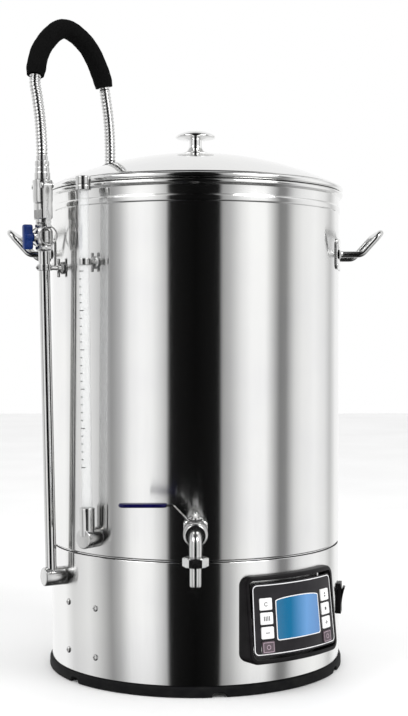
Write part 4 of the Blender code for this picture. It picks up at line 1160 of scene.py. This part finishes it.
def make_arm(word, pivot):
    """A cam arm that hangs from its pivot, and its pull ring; pivot has its Z out and its Y up."""
    drop = CAM_PIVOT_Z - RING_PIVOT_Z
    outline = arc(0, 0, 0.0029, 0, 180, 12) + [(-0.0020, -0.008), (-0.0020, -0.043), (0.0020, -0.043),
                                               (0.0020, -0.008)]
    arm = slab("cam_arm_%s_plate" % word, [outline, arc(0, 0, 0.0015, 0, 345, 23)], 0.0119, pivot,
               soft=0.0005)
    outline = [(-0.0018, -0.041)] + arc(0, -drop, 0.0033, 180, 360, 14) + [(0.0018, -0.041)]
    toe = slab("toe", [outline, arc(0, -drop, 0.0019, 0, 345, 23)], 0.0059, pivot, soft=0.0004)
    carve(arm, toe, "UNION")
    put(arm, MATERIALS["wire"], "cam_arm_" + word, "brushed_steel", "cam_lever_" + word)
    loop = [(0, -drop - RING_R + RING_R * math.cos(math.tau * i / 72), RING_R * math.sin(math.tau * i / 72))
            for i in range(72)]
    ring = sweep("pull_ring_%s_wire" % word, loop, 0.0010, 14, closed=True, place=pivot)
    put(ring, MATERIALS["wire"], "ring_" + word, "brushed_steel", "pull_ring_" + word)


# ---------------------------------------------------------------- controller

def panel_point(x, z, out):
    """A point above the controller's curved face, in the frame of its bearing."""
    r = panel_radius(z) + out
    return x, -math.sqrt(r * r - x * x), z


def make_housing():
    """Rounded rings over the curved face, from the wall out over the edge and down into the recess."""
    middle = (PANEL_LOW_Z + PANEL_HIGH_Z) / 2
    height = PANEL_HIGH_Z - PANEL_LOW_Z
    corner, turn = 0.012, 0.0028

    def ring(inset, out):
        outline = rounded(PANEL_WIDTH - 2 * inset, height - 2 * inset, max(corner - inset, 0.003),
                          cy=middle, steps=10,
                          runs=16)
        return [panel_point(x, z, out) for x, z in outline]

    def back_ring(inset):
        outline = rounded(PANEL_WIDTH - 2 * inset, height - 2 * inset, max(corner - inset, 0.003),
                          cy=middle, steps=10,
                          runs=16)
        return [(x, -math.sqrt((WALL_R + 0.0004) ** 2 - x * x), z) for x, z in outline]

    edge = [(turn - turn * math.sin(math.radians(a)), -turn + turn * math.cos(math.radians(a)))
            for a in range(90, -1, -15)]
    land = 0.0057
    rings = [back_ring(0.0)] + [ring(inset, out) for inset, out in edge]
    rings += [ring(land - 0.0004, 0.0), ring(land, -0.0003), ring(land, -0.0022), back_ring(land)]
    housing = loft("panel_housing", rings, turn_z(CONTROLLER_BEARING))
    put(housing, MATERIALS["housing"], "kettle", "black_plastic", "controller_housing")


def flat_on_panel(name, outlines, thickness, out, soft=0.0, segments=2, bearing=CONTROLLER_BEARING):
    """A thin flat piece bent onto the controller's face, with its top that far above the face."""
    obj = slab(name, outlines, thickness, Matrix.Translation((0, 0, out - thickness / 2)), soft=soft,
               segments=segments)
    return wrap(obj, bearing, panel_radius)


def pane_outline(half, low, high, crown, radius=0.003):
    """The display's outline: an arched top over straight sides, its corners rounded."""
    arch = [(half * math.cos(math.radians(a)), high + crown * math.sin(math.radians(a))) for a in range(0,
                                                                                                        181, 12)]
    corners = arc(-half + radius, low + radius, radius, 180, 270, 5) + arc(half - radius, low + radius,
                                                                           radius, 270, 360, 5)
    return arch + corners


def key_places():
    for number in range(1, 9):
        side = -1 if number <= 4 else 1
        row = (number - 1) % 4
        yield number, side * math.radians(KEY_SWING) * panel_radius(0.09), KEY_TOP_Z - row * KEY_PITCH, row == 3


def make_panel():
    middle = (PANEL_LOW_Z + PANEL_HIGH_Z) / 2
    width, height = 0.1398, 0.0902
    key_w, key_h = 0.0176, 0.0148
    holes = [rounded(key_w + 0.0008, key_h + 0.0008, 0.0018, cx=x, cy=z, steps=3) for _, x, z,
             _ in key_places()]
    film = flat_on_panel("panel_film", [rounded(width, height, 0.0050, cy=middle)] + holes, 0.0011, -0.0006)
    put(film, MATERIALS["film"], "kettle", "face_film", "controller_face")
    border = flat_on_panel("panel_border",
                           [rounded(0.1390, 0.0866, 0.0060, cy=0.0970), rounded(0.1368, 0.0844, 0.0050,
                           cy=0.0970)], 0.0003, -0.00045)
    put(border, MATERIALS["ink_white"], "kettle", "white_key")
    pane = flat_on_panel("display_pane", [pane_outline(0.0364, 0.0708, 0.1186, 0.0040)], 0.0009, -0.00025)
    put(pane, MATERIALS["display"], "kettle", "display_blue", "display_window")
    surround = flat_on_panel("display_line", [pane_outline(0.0374, 0.0698, 0.1192, 0.0044),
                             pane_outline(0.0363, 0.0709, 0.1185, 0.0040)], 0.0007, -0.00010)
    put(surround, MATERIALS["ink_white"], "kettle", "white_key")
    for number, x, z, dark in key_places():
        make_key(number, x, z, dark, key_w, key_h)
    carry("control_board", "board")


def make_key(number, x, z, dark, width, height):
    body, name = "key_%d" % number, "key_cap_%d" % number
    slot = "mauve_key" if dark else "white_key"
    cap = flat_on_panel(name, [rounded(width, height, 0.0015, cx=x, cy=z, steps=4)], 0.0030, 0.0009,
                        soft=0.0004)
    put(cap, MATERIALS["key_mauve" if dark else "key_white"], body, slot, "button_%d" % number)
    ink = MATERIALS["ink_mauve" if dark else "ink_dark"]
    for i, outlines in enumerate(legend(number, x, z, width, height)):
        mark = flat_on_panel("key_mark_%d_%d" % (number, i + 1), outlines, 0.00012, 0.00098)
        put(mark, ink, body, slot)


def legend(number, x, z, width, height):
    """The plain marks on a key: arrows, bars, plus, minus, and a frame on the lower keys."""
    bar = [(x - 0.0028, z - 0.0005), (x + 0.0028, z - 0.0005), (x + 0.0028, z + 0.0005),
           (x - 0.0028, z + 0.0005)]
    post = [(x - 0.0006, z - 0.0028), (x + 0.0006, z - 0.0028), (x + 0.0006, z + 0.0028),
            (x - 0.0006, z + 0.0028)]
    if number in (4, 8):
        frame_line = [rounded(width - 0.0024, height - 0.0024, 0.001, cx=x, cy=z, steps=3),
                      rounded(width - 0.0038, height - 0.0038, 0.0006, cx=x, cy=z, steps=3)]
        dial = [arc(x, z, 0.0030, 0, 345, 23), arc(x, z, 0.0022, 0, 345, 23)]
        return [frame_line, dial]
    if number == 1:
        return [[arc(x, z, 0.0026, 30, 330, 16) + list(reversed(arc(x, z, 0.0018, 30, 330, 16)))]]
    if number == 2:
        return [[[(a + dx, b) for a, b in post[:2]] + [(a + dx, b) for a, b in post[2:]]]
                for dx in (-0.0036, -0.0012, 0.0012, 0.0036)]
    if number == 3:
        return [[bar]]
    if number == 5:
        return [[[(x - 0.0020, z + 0.0008), (x + 0.0020, z + 0.0008), (x, z + 0.0036)]],
                [[(x - 0.0020, z - 0.0008), (x, z - 0.0036), (x + 0.0020, z - 0.0008)]]]
    if number == 6:
        return [[[(x - 0.0018, z - 0.0018), (x + 0.0018, z - 0.0018), (x + 0.0018, z + 0.0018),
                  (x - 0.0018, z + 0.0018)]]]
    half, thin = 0.0026, 0.0005
    plus = [(half, -thin), (half, thin), (thin, thin), (thin, half), (-thin, half), (-thin, thin),
            (-half, thin),
            (-half, -thin), (-thin, -thin), (-thin, -half), (thin, -half), (thin, -thin)]
    return [[[(x + a, z + b) for a, b in plus]]]


# ---------------------------------------------------------------- switch and inlet

def make_switch():
    out = outward(SWITCH_BEARING, SWITCH_Z)
    proud = 0.0045
    bezel = slab("switch_frame", [rounded(0.0258, 0.0416, 0.0022), rounded(0.0187, 0.0331, 0.0012)], proud,
                 out @ Matrix.Translation((0, 0, WALL_R + proud / 2)), soft=0.0009)
    put(bezel, MATERIALS["housing"], "kettle", "black_plastic", "switch_bezel")
    axis = out @ Matrix.Translation((0, 0, WALL_R + 0.004)) @ Matrix.Rotation(math.radians(10), 4, "X")
    half = 0.0154
    side = [(-half, -0.0002), (0, -0.0020), (half, -0.0002)]
    top = [(half * math.cos(math.radians(a)), 0.0020 + 0.0012 * math.cos(math.radians(a)) ** 2)
           for a in range(0, 181, 12)]
    outline = [(-z, w) for z, w in side + top]
    lay = axis @ Matrix.Rotation(math.radians(-90), 4, "Z") @ Matrix.Rotation(math.radians(90), 4, "X")
    rocker = slab("rocker_cap", [outline], 0.0174, lay, soft=0.0006)
    put(rocker, MATERIALS["housing"], "rocker", "black_plastic", "power_rocker")


def make_inlet():
    out = outward(INLET_BEARING, INLET_Z)
    block = slab("inlet_block", [rounded(0.0358, 0.0318, 0.0030)], 0.0136,
                 out @ Matrix.Translation((0, 0, WALL_R + 0.0070)),
                 soft=0.0010)
    carve(block, slab("recess", [rounded(0.0260, 0.0200, 0.0022)], 0.0200,
                      out @ Matrix.Translation((0, 0, WALL_R + 0.0135))))
    put(block, MATERIALS["housing"], "kettle", "black_plastic", "power_inlet")
    for i, (x, z) in enumerate(((-0.007, 0.003), (0.007, 0.003), (0, -0.004))):
        blade = slab("inlet_blade_%d" % (i + 1), [rounded(0.0016, 0.0045, 0.0003, steps=2)], 0.0092,
                     out @ Matrix.Translation((x, z, WALL_R + 0.0076)), soft=0.0003)
        put(blade, MATERIALS["wire"], "kettle", "black_plastic")
    for i, x in enumerate((-0.0148, 0.0148)):
        make_screw("inlet_screw_%d" % (i + 1), out @ Matrix.Translation((x, 0, 0)), WALL_R + 0.0136,
                   size=0.0016)


# ---------------------------------------------------------------- malt pipe and the parts inside

def make_malt_pipe():
    r = 0.150
    tube = lathe(
        "malt_shell",
        [(r - 0.0012, MALT_TOP_Z), (r + 0.0015, MALT_TOP_Z), (r + 0.0025, MALT_TOP_Z - 0.0012),
         (r + 0.0025, MALT_TOP_Z - 0.0040), (r + 0.0012, MALT_TOP_Z - 0.0055), (r, MALT_TOP_Z - 0.0065),
         (r, SCREEN_Z - 0.004), (r - 0.0012, SCREEN_Z - 0.004)], Matrix(), 192, ring=True, soft=0.0005)
    put(tube, MATERIALS["inner"], "malt_basket", "brushed_steel", "malt_pipe")
    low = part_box("malt_pipe")[0][2]
    for i in range(3):
        place = upright(120 * i + 30, r + 0.0008, (0.235 + low) / 2) @ Matrix.Rotation(math.radians(90), 4,
                                                                                       "X")
        leg = slab("malt_foot_%d" % (i + 1), [rounded(0.0196, 0.235 - low, 0.003)], 0.0020, place,
                   soft=0.0005)
        put(leg, MATERIALS["inner"], "malt_basket", "brushed_steel")
    make_screen(0.1478)


def make_screen(radius):
    """The lower screen: slots on rings round a plain middle and rim."""
    holes = []
    for ring_number in range(9):
        middle = 0.020 + 0.0145 * ring_number
        count = max(6, int(math.tau * middle / 0.021))
        for k in range(count):
            turn = 360 * (k + 0.5 * (ring_number % 2)) / count
            span = math.degrees(0.0068 / middle)
            holes.append(arc(0, 0, middle + 0.0016, turn - span, turn + span, 4)
                         + arc(0, 0, middle - 0.0016, turn + span, turn - span, 4))
    disc = slab("screen_disc", [arc(0, 0, radius, 0, 357, 119)] + holes, 0.0019,
                Matrix.Translation((0, 0, SCREEN_Z - 0.0010)))
    put(disc, MATERIALS["inner"], "malt_basket", "brushed_steel", "lower_screen")


def finish_inner_parts():
    for name, material in (("heater_plate", "alloy"), ("temperature_probe", "lid"),
                           ("pump_head", "housing"),
                           ("pump_motor", "alloy"), ("pump_impeller", "housing"),
                           ("pump_inlet_hose", "silicone"),
                           ("pump_outlet_hose", "silicone")):
        carry(name, material)


make_camera()
make_hose()
make_adapter()
make_world()
make_lights()
make_floor()
make_base()
make_vessel()
make_handle("left_handle", -1, "handle_left")
make_handle("right_handle", 1, "handle_right")
make_lid()
make_tap()
make_gauge()
make_riser()
make_coupler()
make_housing()
make_panel()
make_switch()
make_inlet()
make_malt_pipe()
finish_inner_parts()

bpy.context.scene.view_settings.view_transform = "Standard"
